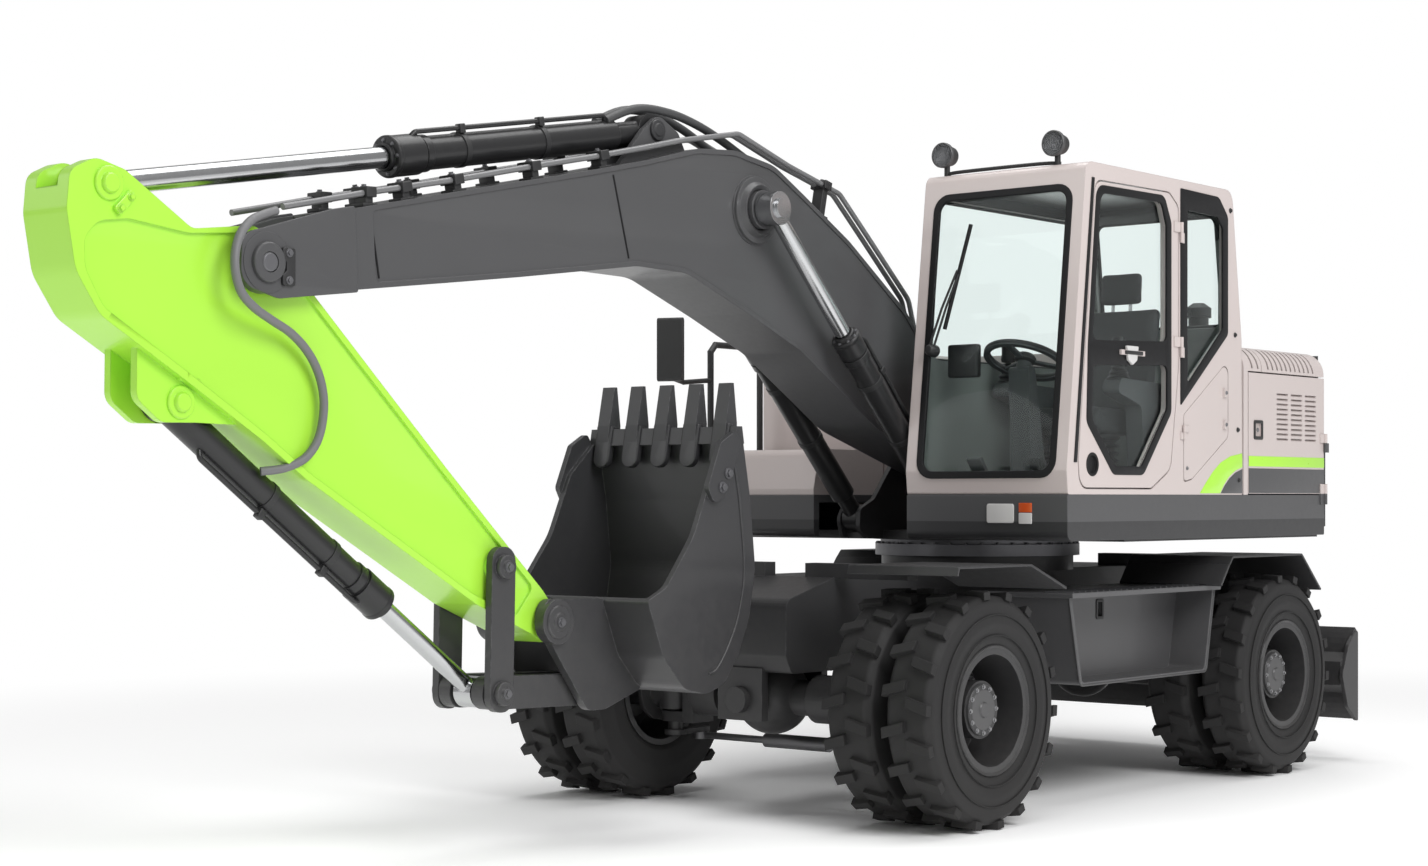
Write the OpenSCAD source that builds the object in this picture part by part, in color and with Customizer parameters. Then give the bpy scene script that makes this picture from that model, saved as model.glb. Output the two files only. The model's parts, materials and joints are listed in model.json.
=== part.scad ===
// Wheeled excavator with a one-piece boom, a rear dozer blade and twin tyres.
// +X is forward, +Y is the cab side, +Z is up. The origin is on the ground under the swing axis.

/* [Running gear] */
// distance between the axles
wheelbase = 2800; // [2600:10:3000]
// front axle ahead of the swing axis
front_x = 1730; // [1690:5:1760]
// tyre radius over the lugs
tyre_r = 526; // [505:1:532]
// width of one tyre
tyre_w = 262; // [230:1:268]
// gap between twin tyres
twin_gap = 52; // [46:1:70]
// half width over the tyres
half_w = 1240; // [1225:1:1270]
// bars on each shoulder of a tyre
lug_count = 18; // [14:1:22]
// height of the bars
lug_h = 24; // [14:1:30]
// half width of the chassis beam
beam_half = 290; // [240:5:310]

/* [Upper structure] */
// half width of the upper structure
body_half = 1245; // [1200:5:1275]
// under side of the skirts
skirt_z0 = 1257; // [1245:1:1275]
// top of the skirts
skirt_z1 = 1471; // [1440:1:1474]
// radius of the tail
tail_r = 1957; // [1940:1:2000]
// top of the engine hood
hood_z = 2235; // [2180:5:2260]
// top of the cab roof
roof_z = 3008; // [2990:2:3060]
// thickness of the cab walls and the door
cab_t = 45; // [36:1:55]

/* [Working arm] */
// boom length between its pins
boom_len = 4685; // [4640:5:4720]
// half width of the boom
boom_half = 172; // [160:1:180]
// arm length between its pins
arm_len = 2041; // [2000:5:2080]
// half width of the arm
arm_half = 125; // [115:1:128]
// half width of the bucket
bucket_half = 425; // [380:5:440]
// number of bucket teeth
tooth_count = 5; // [4:1:6]
// radius of the main pins
pin_r = 36; // [30:1:40]

/* [Clearances] */
// gap between pieces that move past each other
gap = 7; // [6:1:10]
// gap round a pin in its bore
pin_gap = 1; // [0.6:0.1:1.5]
// gap between curved faces that fit together
fit_gap = 0.5; // [0.3:0.1:1]

/* [Hidden] */
$fn = 48;
rear_x = front_x - wheelbase;
axle_z = tyre_r;
wheel_y = half_w - tyre_w - twin_gap / 2;
inner_y = half_w - 2 * tyre_w - twin_gap;
king_y = inner_y - 64;
rim_r = 257;
spindle_r = 86;
beam_top = 1085;
beam_bot = 655;
foot = [280, 1660];
boom_dir = [0.99042, 0.13810];
tip = foot + boom_len * boom_dir;
arm_dir = [-0.74474, -0.66734];
bpin = tip + arm_len * arm_dir;
cyl_foot = [689, 1352];
cyl_top = bo([0.4129, 0.1789]);
acyl_foot = bo([0.5453, 0.2257]);
acyl_eye = ar([-0.3111, 0.1301]);
bcyl_foot = ar([0.0513, 0.2922]);
rock_pin = ar([0.8183, 0.0102]);
link_pin = rock_pin + [12, -508];
buck_pin = bpin + [-245, -293];
cyl_y = 275;
eye_half = 44;
blade_pin = [-1380, 700];
blade_foot = [-1672, 985];
blade_eye = [-1790, 560];
cab_y0 = 357;
door_hinge = [100, body_half + 10];
side_hinge = [-1492, body_half + 10];
lid_hinge = [-764, hood_z + 12];
hatch_hinge = [72, body_half + 10];

function unit(v) = v / norm(v);
// boom coordinates: along the line between its pins and square to it
function bo(p) = foot + boom_len * (p.x * boom_dir + p.y * [-boom_dir.y, boom_dir.x]);
// arm coordinates in the same way
function ar(p) = tip + arm_len * (p.x * arm_dir + p.y * [-arm_dir.y, arm_dir.x]);
// one corner rounded with radius r
function corner(a, b, c, r, n) =
    let (u = unit(a - b), w = unit(c - b), g = acos(max(-1, min(1, u * w))))
    r <= 0 || g > 179 ? [b] :
    let (p = b + u * (r / tan(g / 2)), q = b + w * (r / tan(g / 2)))
    let (m = b + unit(u + w) * (r / sin(g / 2)))
    let (a0 = atan2(p.y - m.y, p.x - m.x), a1 = atan2(q.y - m.y, q.x - m.x))
    let (d = ((a1 - a0 + 540) % 360) - 180)
    [for (i = [0:n]) m + r * [cos(a0 + d * i / n), sin(a0 + d * i / n)]];
function flat(p) = [p.x, p.y];
// outline with rounded corners from points [x, y, radius]
function rounded(v, n = 5) =
    let (m = len(v))
    [for (i = [0:m - 1]) each corner(flat(v[(i + m - 1) % m]), flat(v[i]), flat(v[(i + 1) % m]), v[i].z, n)];
function on_boom(v) = [for (p = v) let (q = bo(flat(p))) [q.x, q.y, p.z]];
function on_arm(v) = [for (p = v) let (q = ar(flat(p))) [q.x, q.y, p.z]];

// plate with an outline in the side view, between two widths
module side(pts, y0, y1) {
    translate([0, y1, 0]) rotate([90, 0, 0]) linear_extrude(y1 - y0) polygon(pts);
}
module block(x0, x1, y0, y1, z0, z1) {
    translate([x0, y0, z0]) cube([x1 - x0, y1 - y0, z1 - z0]);
}
module ycyl(p, r, y0, y1) {
    translate([p.x, y0, p.y]) rotate([-90, 0, 0]) cylinder(r = r, h = y1 - y0);
}
module xcyl(y, z, r, x0, x1) {
    translate([x0, y, z]) rotate([0, 90, 0]) cylinder(r = r, h = x1 - x0);
}
// round bar between two points of the side view, from a to b along it
module bar(p, q, y, r, a, b) {
    d = q - p;
    translate([p.x, y, p.y]) rotate([0, atan2(d.x, d.y), 0]) translate([0, 0, a]) cylinder(r = r, h = b - a);
}
module pair() {
    children();
    mirror([0, 1, 0]) children();
}
// bar between any two points
module rod3(p, q, r) {
    d = q - p;
    translate(p) rotate([0, acos(d.z / norm(d)), atan2(d.y, d.x)]) cylinder(r = r, h = norm(d), $fn = 24);
}
// straight lengths of pipe, each run on a little into the next
module pipe(pts, r) {
    n = len(pts) - 2;
    for (i = [0:n]) let (d = unit(pts[i + 1] - pts[i]))
        rod3(pts[i] - (i > 0 ? r * 0.4 : 0) * d, pts[i + 1] + (i < n ? r * 0.4 : 0) * d, r);
}

// pipe in straight lengths with a union at each bend
module joined_pipe(pts, r) {
    n = len(pts) - 2;
    for (i = [0:n]) let (d = unit(pts[i + 1] - pts[i]))
        rod3(pts[i] + (i > 0 ? r * 0.4 : 0) * d, pts[i + 1] - (i < n ? r * 0.4 : 0) * d, r);
    for (i = [1:n]) let (d = unit(unit(pts[i + 1] - pts[i]) + unit(pts[i] - pts[i - 1])))
        rod3(pts[i] - r * 1.2 * d, pts[i] + r * 1.2 * d, r * 1.3);
}
// half of an upright hinge: knuckle about its axis and a leaf on the face behind it
module upright_hinge(h, z0, z1, x0, x1, r) {
    translate([h.x, h.y, z0]) cylinder(r = r, h = z1 - z0, $fn = 24);
    block(x0, x1, body_half + 0.5, h.y - 3, z0, z1);
    block(x0 == h.x ? x0 + 20 : x0, x1 == h.x ? x1 - 20 : x1, body_half - 12, h.y - 3, z0, z1);
}
// half of the hood's hinge, lying across the body
module lid_half(y0, y1, x0, x1) {
    translate([lid_hinge.x, y0, lid_hinge.y]) rotate([-90, 0, 0]) cylinder(r = 11, h = y1 - y0, $fn = 24);
    block(x0, x1, y0, y1, hood_z - 6, hood_z + 9);
}
// Chassis beam with the swing pedestal, axle brackets and the arms of the fenders and boxes
module chassis_frame() {
    color("#3a3a3d") difference() {
        union() {
            side(rounded([[-1600, 700, 30], [-1600, 1010, 40], [-1480, beam_top, 40], [1640, beam_top, 60],
                [2005, 990, 50], [2005, 730, 40], [1960, beam_bot, 30], [-1480, beam_bot, 40]]),
                -beam_half, beam_half);
            translate([0, 0, beam_top]) cylinder(r = 500, h = 75, $fn = 72);
            pair() {
                for (x = [-330, 520]) block(x, x + 90, beam_half - 20, 640, 850, 990);
                block(front_x - 170, front_x - 90, 120, inner_y + 40, beam_top - 5, 1150);
                block(rear_x - 40, rear_x + 40, 120, inner_y + 40, beam_top - 5, 1150);
                ycyl(blade_pin, pin_r, beam_half - 10, beam_half + 90);
                ycyl(blade_pin, pin_r + 22, beam_half - 10, beam_half + 20);
                for (y = [115, 225]) side(rounded([[-1580, 880, 0], [-1580, 1040, 0], [-1660, 1040, 40],
                    [-1725, 985, 40], [-1690, 930, 30]]), y, y + 22);
                ycyl(blade_foot, 28, 125, 240);
            }
            for (x = [205, -250]) block(front_x + x, front_x + x + 45, -130, 130, 430, beam_bot + 20);
        }
        block(front_x - 204, front_x + 204, -230, 230, 400, 745);
        block(rear_x - 230, rear_x + 330, -230, 230, 400, 745);
        xcyl(0, axle_z, 60 + fit_gap, front_x + 200, front_x + 260);
        xcyl(0, axle_z, 76 + fit_gap, front_x - 260, front_x - 200);
        translate([0, 0, 1000]) cylinder(r = 300, h = 200, $fn = 60);
    }
}
// Swing bearing on the pedestal, with its bolts' holes
module slew_ring() {
    color("#5d5d60") difference() {
        union() {
            translate([0, 0, 1160]) cylinder(r = 532, h = 60, $fn = 72);
            translate([0, 0, 1220]) cylinder(r = 505, h = 22.7, $fn = 72);
        }
        translate([0, 0, 1150]) cylinder(r = 410, h = 100, $fn = 72);
    }
}
// Front axle housing, with trunnions for its bracket and yokes for the king pins
module front_axle() {
    color("#303032") difference() {
        translate([front_x, 0, axle_z]) {
            sphere(r = 178, $fn = 60);
            xcyl(0, 0, 60, 0, 285);
            xcyl(0, 0, 76, -285, 0);
            xcyl(0, 0, 46, -330, -280);
            ycyl([0, 0], 82, -king_y + 130, king_y - 130);
            pair() {
                ycyl([0, 0], 112, king_y - 330, king_y - 170);
                block(-78, 78, king_y - 172, king_y - 108, -148, 148);
                for (z = [-148, 98]) {
                    block(-70, 70, king_y - 172, king_y, z, z + 50);
                    translate([0, king_y, z]) cylinder(r = 70, h = 50);
                }
            }
        }
        pair() translate([front_x, king_y, axle_z - 200]) cylinder(r = pin_r + pin_gap, h = 400);
    }
}
// Rear axle housing, bolted under the beam
module rear_axle() {
    color("#303032") translate([rear_x, 0, axle_z]) {
        sphere(r = 178, $fn = 60);
        xcyl(0, 0, 76, 0, 285);
        xcyl(0, 0, 46, 280, 330);
        ycyl([0, 0], 92, -wheel_y + 100, wheel_y - 100);
        pair() {
            block(-95, 95, 236, 284, 0, beam_bot - axle_z);
            ycyl([0, 0], 150, inner_y - 90, inner_y - 30);
            ycyl([0, 0], spindle_r, inner_y - 60, wheel_y + 60);
        }
    }
}
// Gearbox and propeller shafts
module driveline() {
    z = axle_z;
    color("#2b2b2d") {
        block(70, 420, -165, 165, 410, beam_bot);
        xcyl(0, z, 95, 30, 460);
        xcyl(0, z, 42, 450, front_x - 331);
        xcyl(0, z, 70, 470, 500);
        xcyl(0, z, 70, front_x - 380, front_x - 350);
        xcyl(0, z, 42, rear_x + 331, 40);
        xcyl(0, z, 70, rear_x + 350, rear_x + 380);
    }
}
// Bent plates over the wheels
module fenders() {
    y0 = inner_y - 12;
    y1 = half_w - 4;
    f = front_x;
    r = rear_x;
    color("#333335") pair() {
        side(rounded([[f + 300, 1120, 4], [f + 290, 1160, 6], [f - 290, 1160, 30], [f - 590, 1050, 4], [f - 586, 1038, 4],
            [f - 287, 1150, 20], [f + 282, 1150, 3], [f + 292, 1118, 4]]), y0, y1);
        side(rounded([[r + 640, 1120, 4], [r + 600, 1160, 20], [r - 180, 1160, 30], [r - 410, 965, 4], [r - 401, 958, 4],
            [r - 174, 1150, 20], [r + 598, 1150, 15], [r + 632, 1114, 4]]), y0, y1);
    }
}
// Open step boxes between the wheels
module step_boxes() {
    color("#4a4a4d") pair() difference() {
        union() {
            side(rounded([[930, 1000, 10], [830, 575, 30], [-400, 575, 30], [-490, 1000, 10]]), 640, 1120);
            side(rounded([[950, 1012, 5], [945, 988, 5], [-500, 988, 5], [-505, 1012, 5]]), 640, 1150);
        }
        side(rounded([[905, 988, 10], [812, 588, 25], [-382, 588, 25], [-470, 988, 10]]), 915, 1160);
        block(280, 330, 850, 920, 870, 950);
    }
}
// Steered stub axle of the left front wheel
module stub_axle() {
    translate([front_x, king_y, axle_z]) {
        translate([0, 0, -88]) cylinder(r = 84, h = 176);
        translate([0, 0, -215]) cylinder(r = pin_r, h = 375);
        ycyl([0, 0], spindle_r, 0, wheel_y - king_y + 60);
        ycyl([0, 0], 150, 90, 112);
        translate([0, 0, -215]) cylinder(r = 55, h = 25);
        block(-190, 0, -38, 38, -215, -190);
        translate([-190, 0, -215]) cylinder(r = 42, h = 25);
    }
}
module knuckle_left() {
    color("#2f2f31") stub_axle();
}
module knuckle_right() {
    color("#2f2f31") mirror([0, 1, 0]) stub_axle();
}
// Steering cylinder with its rod between the knuckle arms
module steering_rod() {
    z = axle_z - 233.4;
    color("#77777a") {
        pair() translate([front_x - 190, king_y, z - 18]) cylinder(r = 38, h = 36);
        translate([front_x - 190, -king_y, z]) rotate([-90, 0, 0]) cylinder(r = 17, h = 2 * king_y);
        translate([front_x - 190, -190, z]) rotate([-90, 0, 0]) cylinder(r = 34, h = 380);
    }
}
// One tyre about the Y axis, centred on its width
module tyre() {
    r = tyre_r - lug_h;
    w = tyre_w / 2;
    rotate([-90, 0, 0]) {
        rotate_extrude($fn = 90)
            polygon(rounded([[rim_r + fit_gap, -w + 40, 0], [rim_r + 40, -w + 14, 20], [(rim_r + r) / 2, -w, 60],
                [r - 30, -w + 12, 25], [r, -w + 40, 25], [r, w - 40, 25], [r - 30, w - 12, 25],
                [(rim_r + r) / 2, w, 60], [rim_r + 40, w - 14, 20], [rim_r + fit_gap, w - 40, 0]], 4));
        for (s = [-1, 1]) for (i = [0:lug_count - 1])
            rotate([0, 0, (i + s / 4) * 360 / lug_count]) translate([r - 14, 0, 0]) rotate([0, 90, 0])
                linear_extrude(sqrt(tyre_r * tyre_r - 2710) - r + 14)
                    polygon([[s * 6, -34 + s * 8], [s * (w - 14), -4 + s * 8], [s * (w - 14), 44 + s * 8], [s * 6, 14 + s * 8]]);
    }
}
// Twin rims, disc and planet hub about the Y axis, outer side to +Y
module rim() {
    w = tyre_w / 2;
    p = tyre_w + twin_gap;
    difference() {
        union() {
            rotate([-90, 0, 0]) rotate_extrude($fn = 72)
                polygon([[rim_r - 12, -p + twin_gap / 2 + 20], [rim_r - 12, p - twin_gap / 2 - 20],
                    [rim_r + 16, p - twin_gap / 2 - 20], [rim_r + 16, p - twin_gap / 2 - 29],
                    [rim_r, p - twin_gap / 2 - 37], [rim_r, -p + twin_gap / 2 + 37],
                    [rim_r + 16, -p + twin_gap / 2 + 29], [rim_r + 16, -p + twin_gap / 2 + 20]]);
            ycyl([0, 0], rim_r - 6, 6, 28);
            ycyl([0, 0], 150, -70, 70);
            ycyl([0, 0], 128, 60, 205);
            ycyl([0, 0], 112, 200, 218);
            for (i = [0:9]) ycyl(185 * [cos(36 * i), sin(36 * i)], 15, 20, 52);
        }
        ycyl([0, 0], spindle_r + 2, -400, 62);
    }
}
module at_wheel(x, left) {
    color_side = left ? 0 : 1;
    mirror([0, color_side, 0]) translate([x, wheel_y, axle_z]) children();
}
module twin_tyres(x, left) {
    color("#1d1d1e") at_wheel(x, left) {
        translate([0, (tyre_w + twin_gap) / 2, 0]) tyre();
        translate([0, -(tyre_w + twin_gap) / 2, 0]) mirror([0, 1, 0]) tyre();
    }
}
module tyres_front_left() { twin_tyres(front_x, true); }
module tyres_front_right() { twin_tyres(front_x, false); }
module tyres_rear_left() { twin_tyres(rear_x, true); }
module tyres_rear_right() { twin_tyres(rear_x, false); }
module rims_front_left() { color("#2c2c2e") at_wheel(front_x, true) rim(); }
module rims_front_right() { color("#2c2c2e") at_wheel(front_x, false) rim(); }
module rims_rear_left() { color("#2c2c2e") at_wheel(rear_x, true) rim(); }
module rims_rear_right() { color("#2c2c2e") at_wheel(rear_x, false) rim(); }
// Dozer blade with its arms
module blade() {
    m = [-2330, 480];
    arc = [for (i = [-8:8]) m + 400 * [cos(i * 4.6), sin(i * 4.6)]];
    back = [for (i = [-8:8]) m + 426 * [cos(-i * 4.6), sin(-i * 4.6)]];
    color("#38383b") difference() {
        union() {
            side(concat(arc, back), -1195, 1195);
            side([[-1925, 600], [-1925, 370], [-1840, 420], [-1840, 550]], -1180, 1180);
            pair() {
                side(rounded([[-2020, 205, 10], [-2020, 740, 20], [-1900, 640, 40], [-1820, 480, 40], [-1890, 300, 40]]),
                    1180, 1200);
                side(rounded([[-1340, 650, 35], [-1340, 750, 35], [-1430, 755, 40], [-1850, 560, 20], [-1930, 560, 0],
                    [-1930, 400, 0], [-1850, 430, 20], [-1430, 645, 40]]), beam_half + 25, beam_half + 75);
                for (y = [115, 225]) side(rounded([[-1925, 470, 0], [-1925, 640, 0], [-1800, 625, 40], [-1735, 560, 40],
                    [-1790, 500, 40]]), y, y + 22);
            }
        }
        pair() ycyl(blade_pin, pin_r + pin_gap, beam_half, beam_half + 120);
    }
}
// Blade lift cylinders, barrels and rods
module blade_barrels() {
    color("#3b3b3e") pair() difference() {
        union() {
            ycyl(blade_foot, 48, 145, 217);
            bar(blade_foot, blade_eye, 181, 42, 20, 290);
            bar(blade_foot, blade_eye, 181, 48, 262, 300);
        }
        ycyl(blade_foot, 28 + pin_gap, 100, 260);
        bar(blade_foot, blade_eye, 181, 24 + fit_gap, 58, 320);
    }
}
module blade_rods() {
    color("#c9cacd") pair() {
        bar(blade_foot, blade_eye, 181, 24, 112, norm(blade_eye - blade_foot));
        ycyl(blade_eye, 44, 147, 215);
    }
}
// Revolving frame: deck, boom brackets and cylinder lugs
module upper_frame() {
    color("#3d3d40") difference() {
        union() {
            block(-1503, 560, 45 - body_half, body_half - 45, 1246, 1290);
            translate([0, 0, 1243]) cylinder(r = 560, h = 40, $fn = 72);
            pair() {
                side(rounded([[-555, 1290, 0], [-555, 1562, 30], [120, 1730, 80], [200, 1790, 60], [360, 1790, 70],
                    [470, 1640, 80], [640, 1450, 40], [760, 1400, 40], [770, 1300, 40], [700, 1250, 20], [500, 1250, 0]]),
                    200, 226);
                side(rounded([[560, 1250, 10], [590, 1400, 40], [720, 1425, 50], [772, 1350, 50], [740, 1250, 20]]),
                    325, 345);
                block(540, 700, 226, 345, 1250, 1282);
            }
            ycyl(foot, pin_r + 8, -226, 226);
            for (s = [-1, 1]) ycyl(cyl_foot, pin_r, s > 0 ? 210 : -345, s > 0 ? 345 : -210);
            for (s = [-1, 1]) ycyl(foot, 75, s > 0 ? 226 : -246, s > 0 ? 246 : -226);
        }
        translate([0, 0, 1200]) cylinder(r = 250, h = 60, $fn = 60);
    }
}
// Skirts round the foot of the body
module skirts() {
    z0 = skirt_z0;
    z1 = skirt_z1;
    b = body_half;
    color("#4b4b4e") {
        pair() upright_hinge(side_hinge, 1420, skirt_z1 + 6, side_hinge.x, -1440, 9.7);
        difference() {
            side(rounded([[1150, z0, 40], [1150, z1, 6], [-1495, z1, 0], [-1495, z0, 10]]), cab_y0, b);
            block(-1600, 1095, cab_y0 - 1, b - 45, z0 - 1, z1 - 40);
            block(-1600, -560, cab_y0 - 1, b - 45, z0 - 1, z1 + 1);
        }
        difference() {
            side(rounded([[865, z0, 40], [865, z1, 6], [-1495, z1, 0], [-1495, z0, 10]]), -b, -cab_y0 - 60);
            block(-1600, 820, -b + 45, -cab_y0, z0 - 1, z1 - 40);
            block(-1600, -560, -b + 45, -cab_y0, z0 - 1, z1 + 1);
        }
    }
}
// Cast counterweight with a round tail
module counterweight() {
    color("#4b4b4e") difference() {
        intersection() {
            union() {
                translate([0, 0, skirt_z0]) cylinder(r = tail_r - 50, h = 545, $fn = 120);
                translate([0, 0, skirt_z0 + 45]) cylinder(r = tail_r, h = 470, $fn = 120);
            }
            block(-2100, -1503, -body_half, body_half, 1200, 1900);
        }
        xcyl(0, 1420, 40, -2000, -1800);
    }
    color("#4b4b4e") pair() upright_hinge(side_hinge, 1700, 1750, -1540, side_hinge.x, 9.7);
}
// Cross section of the hood, shrunk by d, between two places along the body
module hood_arch(x0, x1, z0, d) {
    b = body_half - d;
    translate([x0, 0, 0]) rotate([90, 0, 90]) linear_extrude(x1 - x0)
        polygon(rounded([[-b, z0, 0], [-b, hood_z - d, 120 - d], [b, hood_z - d, 120 - d], [b, z0, 0]], 8));
}
// Slanted slots through both shoulders of the hood
module hood_slots(places) {
    for (x = places) pair() translate([x, body_half - 46, 2160]) rotate([45, 0, 0]) rotate([0, 0, -18])
        cube([16, 150, 120], center = true);
}
// Fixed frame of the engine bay, with the rear hood panel
module hood_frame() {
    b = body_half;
    color("#d9d1cb") {
        block(-612, -566, 50 - b, b - 50, 1290, skirt_z1 + 1);
        difference() {
            hood_arch(-760, -566, skirt_z1, 0);
            block(-800, -612, -b - 1, b + 1, skirt_z1 - 1, 2105);
            hood_arch(-800, -612, 2000, 40);
            hood_slots([-725, -660]);
        }
        pair() lid_half(700, 760, lid_hinge.x, -700);
        difference() {
            intersection() {
                translate([0, 0, skirt_z0 + 545]) cylinder(r = tail_r - 30, h = hood_z - skirt_z0 - 557, $fn = 120);
                block(-2100, -1503, -b, b, 1700, 2400);
            }
            intersection() {
                translate([0, 0, 1700]) cylinder(r = tail_r - 75, h = hood_z - 1760, $fn = 120);
                block(-2100, -1400, -b + 45, b - 45, 1700, 2400);
            }
        }
    }
}
// Top lid of the engine bay
module engine_hood() {
    color("#ded6d0") difference() {
        hood_arch(-1488, -768, 2105, 0);
        hood_arch(-1600, -700, 2000, 40);
        hood_slots([for (i = [0:10]) -1360 + i * 52]);
    }
    color("#ded6d0") pair() lid_half(760.3, 820, -830, lid_hinge.x);
}
// Side doors of the engine bay with louvres and a latch
module bay_door() {
    b = body_half;
    difference() {
        block(-1492, -620, b - 42, b, skirt_z1 + 6, 2098);
        for (c = [0:2]) for (i = [0:9]) translate([-1330 + c * 165, b, 1760 + i * 26]) rotate([-35, 0, 0])
            cube([130, 60, 9], center = true);
        block(-760, -690, b - 10, b + 5, 1770, 1840);
    }
    block(-740, -710, b - 12, b - 4, 1790, 1820);
    upright_hinge(side_hinge, skirt_z1 + 6.3, 1530, side_hinge.x, -1440, 9.7);
    upright_hinge(side_hinge, 1750.3, 1800, side_hinge.x, -1440, 9.7);
}
module left_bay_door() {
    color("#d9d1cb") bay_door();
}
module right_bay_door() {
    color("#d9d1cb") mirror([0, 1, 0]) bay_door();
}
// Engine with its radiator as plain blocks
module engine_block() {
    color("#4d4f52") {
        block(-1330, -760, -560, 620, 1290, 2030);
        block(-1200, -860, 700, 900, 1290, 2000);
    }
}
// Tank housing and low tool box on the right
module right_tank() {
    b = body_half;
    color("#ded6d0") difference() {
        translate([-558, 0, 0]) rotate([90, 0, 90]) linear_extrude(790)
            polygon(rounded([[-b, skirt_z1, 0], [-b, hood_z, 120], [-430, hood_z, 60], [-430, skirt_z1, 0]], 8));
        translate([-150, -840, hood_z - 30]) cylinder(r = 70, h = 60);
    }
    color("#333335") translate([-150, -840, hood_z - 30]) cylinder(r = 58, h = 48);
}
module right_box() {
    b = body_half;
    color("#ded6d0") difference() {
        side(rounded([[245, skirt_z1, 0], [245, 1705, 0], [800, 1705, 60], [850, 1500, 40], [850, skirt_z1, 0]]),
            -b, -430);
        block(420, 640, -b - 5, -b + 150, 1500, 1640);
    }
}
// Handrail on the right with the mirror
module handrail() {
    b = body_half;
    color("#2a2a2c") {
        pipe([[760, -b + 60, 1705], [760, -b + 60, 2230], [720, -b + 60, 2270], [380, -b + 60, 2270], [340, -b + 60, 2230],
            [340, -b + 60, 1705]], 17);
        pipe([[760, -b + 60, 2080], [1000, -b + 75, 2060], [1128, -b + 95, 2080], [1128, -b + 95, 2130]], 13);
        translate([1128, -b + 95, 2225]) rotate([0, 0, 20])
            side(rounded([[-22, -165, 18], [-22, 165, 18], [22, 165, 18], [22, -165, 18]]), -68, 68);
    }
}
// Exhaust stack with its cap, on the fixed part of the hood
module exhaust() {
    color("#2a2a2c") {
        translate([-672, 930, hood_z]) cylinder(r = 52, h = 160);
        translate([-672, 930, hood_z + 158]) cylinder(r = 66, h = 50);
        translate([-672, 930, hood_z + 208]) cylinder(r1 = 66, r2 = 30, h = 26);
    }
}
cab_out = [[1146, skirt_z1, 12], [1158, 1580, 60], [985, roof_z, 55], [-440, roof_z, 70], [-542, 2260, 60],
    [-552, skirt_z1, 10]];
door_line = [[905, 2930, 60], [205, 2940, 60], [111, 2880, 60], [111, 2090, 120], [190, 1590, 90], [380, 1496, 60],
    [1045, 1496, 70], [1060, 1620, 60]];
pane_top = [[868, 2880, 60], [270, 2890, 50], [222, 2780, 50], [222, 2200, 40], [945, 2172, 40]];
pane_low = [[940, 2085, 40], [215, 2110, 40], [215, 1880, 60], [470, 1590, 50], [735, 1590, 60], [950, 1815, 60]];
quarter = [[48, 2925, 50], [-300, 2925, 60], [-372, 2860, 50], [-372, 2290, 40], [48, 1975, 20]];
hatch = [[66, 1862, 20], [-400, 2150, 40], [-400, 1760, 40], [-20, 1545, 30], [66, 1530, 20]];
right_pane = [[930, 2900, 60], [-360, 2900, 60], [-420, 2120, 60], [1000, 2120, 60]];
slope = atan((1158 - 985) / (roof_z - 1580));
// Windscreen outline seen square to its face, as [y, length up the face, radius]
screen_line = [[cab_y0 + 62, 10, 80], [cab_y0 + 62, 1375, 80], [body_half - 62, 1375, 80], [body_half - 62, 10, 80]];
module screen_cut(t, shrink, n) {
    a = [for (p = screen_line) [p.x + (p.x < 800 ? shrink : -shrink), p.y + (p.y < 800 ? shrink : -shrink), p.z - shrink]];
    translate([1158, 0, 1540]) rotate([0, -slope, 0]) translate([n - 45, 0, 0]) rotate([90, 0, 90]) linear_extrude(t)
        polygon(rounded(a, 6));
}
// Rear window outline seen square to the leaning rear wall, as [y, length up the wall, radius]
rear_slope = atan((542 - 440) / (roof_z - 2260));
rear_line = [[cab_y0 + 90, 70, 50], [cab_y0 + 90, 636, 50], [body_half - 90, 636, 50], [body_half - 90, 70, 50]];
module rear_cut(v, n, t) {
    translate([-542, 0, 2260]) rotate([0, rear_slope, 0]) translate([n, 0, 0]) rotate([90, 0, 90]) linear_extrude(t)
        polygon(rounded(v));
}
// Hollow cab with its window and door openings
module cab_shell() {
    c = cab_t;
    b = body_half;
    color("#e6deda") difference() {
        side(rounded(cab_out), cab_y0, b);
        side(rounded([[1100, 1520, 20], [1108, 1585, 40], [940, roof_z - 55, 40], [-398, roof_z - 55, 50],
            [-496, 2255, 40], [-506, 1520, 20]]), cab_y0 + c, b - c);
        side(rounded([for (p = door_line) [p.x, p.y, p.z]]), b - c - 1, b + 1);
        side(rounded(quarter), b - c - 1, b + 1);
        side(rounded(hatch), b - 26, b + 1);
        side(rounded(right_pane), cab_y0 - 1, cab_y0 + c + 1);
        rear_cut(rear_line, -40, 140);
        screen_cut(340, 0, -60);
    }
    color("#e6deda") {
        for (z = [2140, 2700]) upright_hinge(door_hinge, z, z + 50, 66, door_hinge.x, 9);
        upright_hinge(hatch_hinge, 1740, 1775, hatch_hinge.x, 100, 8);
    }
}
function inset(v, d) =
    let (c = [for (i = [0:1]) [for (p = v) p[i]]])
    let (m = [(min(c.x) + max(c.x)) / 2, (min(c.y) + max(c.y)) / 2])
    let (k = [1 - 2 * d / (max(c.x) - min(c.x)), 1 - 2 * d / (max(c.y) - min(c.y))])
    [for (p = v) [m.x + (p.x - m.x) * k.x, m.y + (p.y - m.y) * k.y, p.z]];
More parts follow.
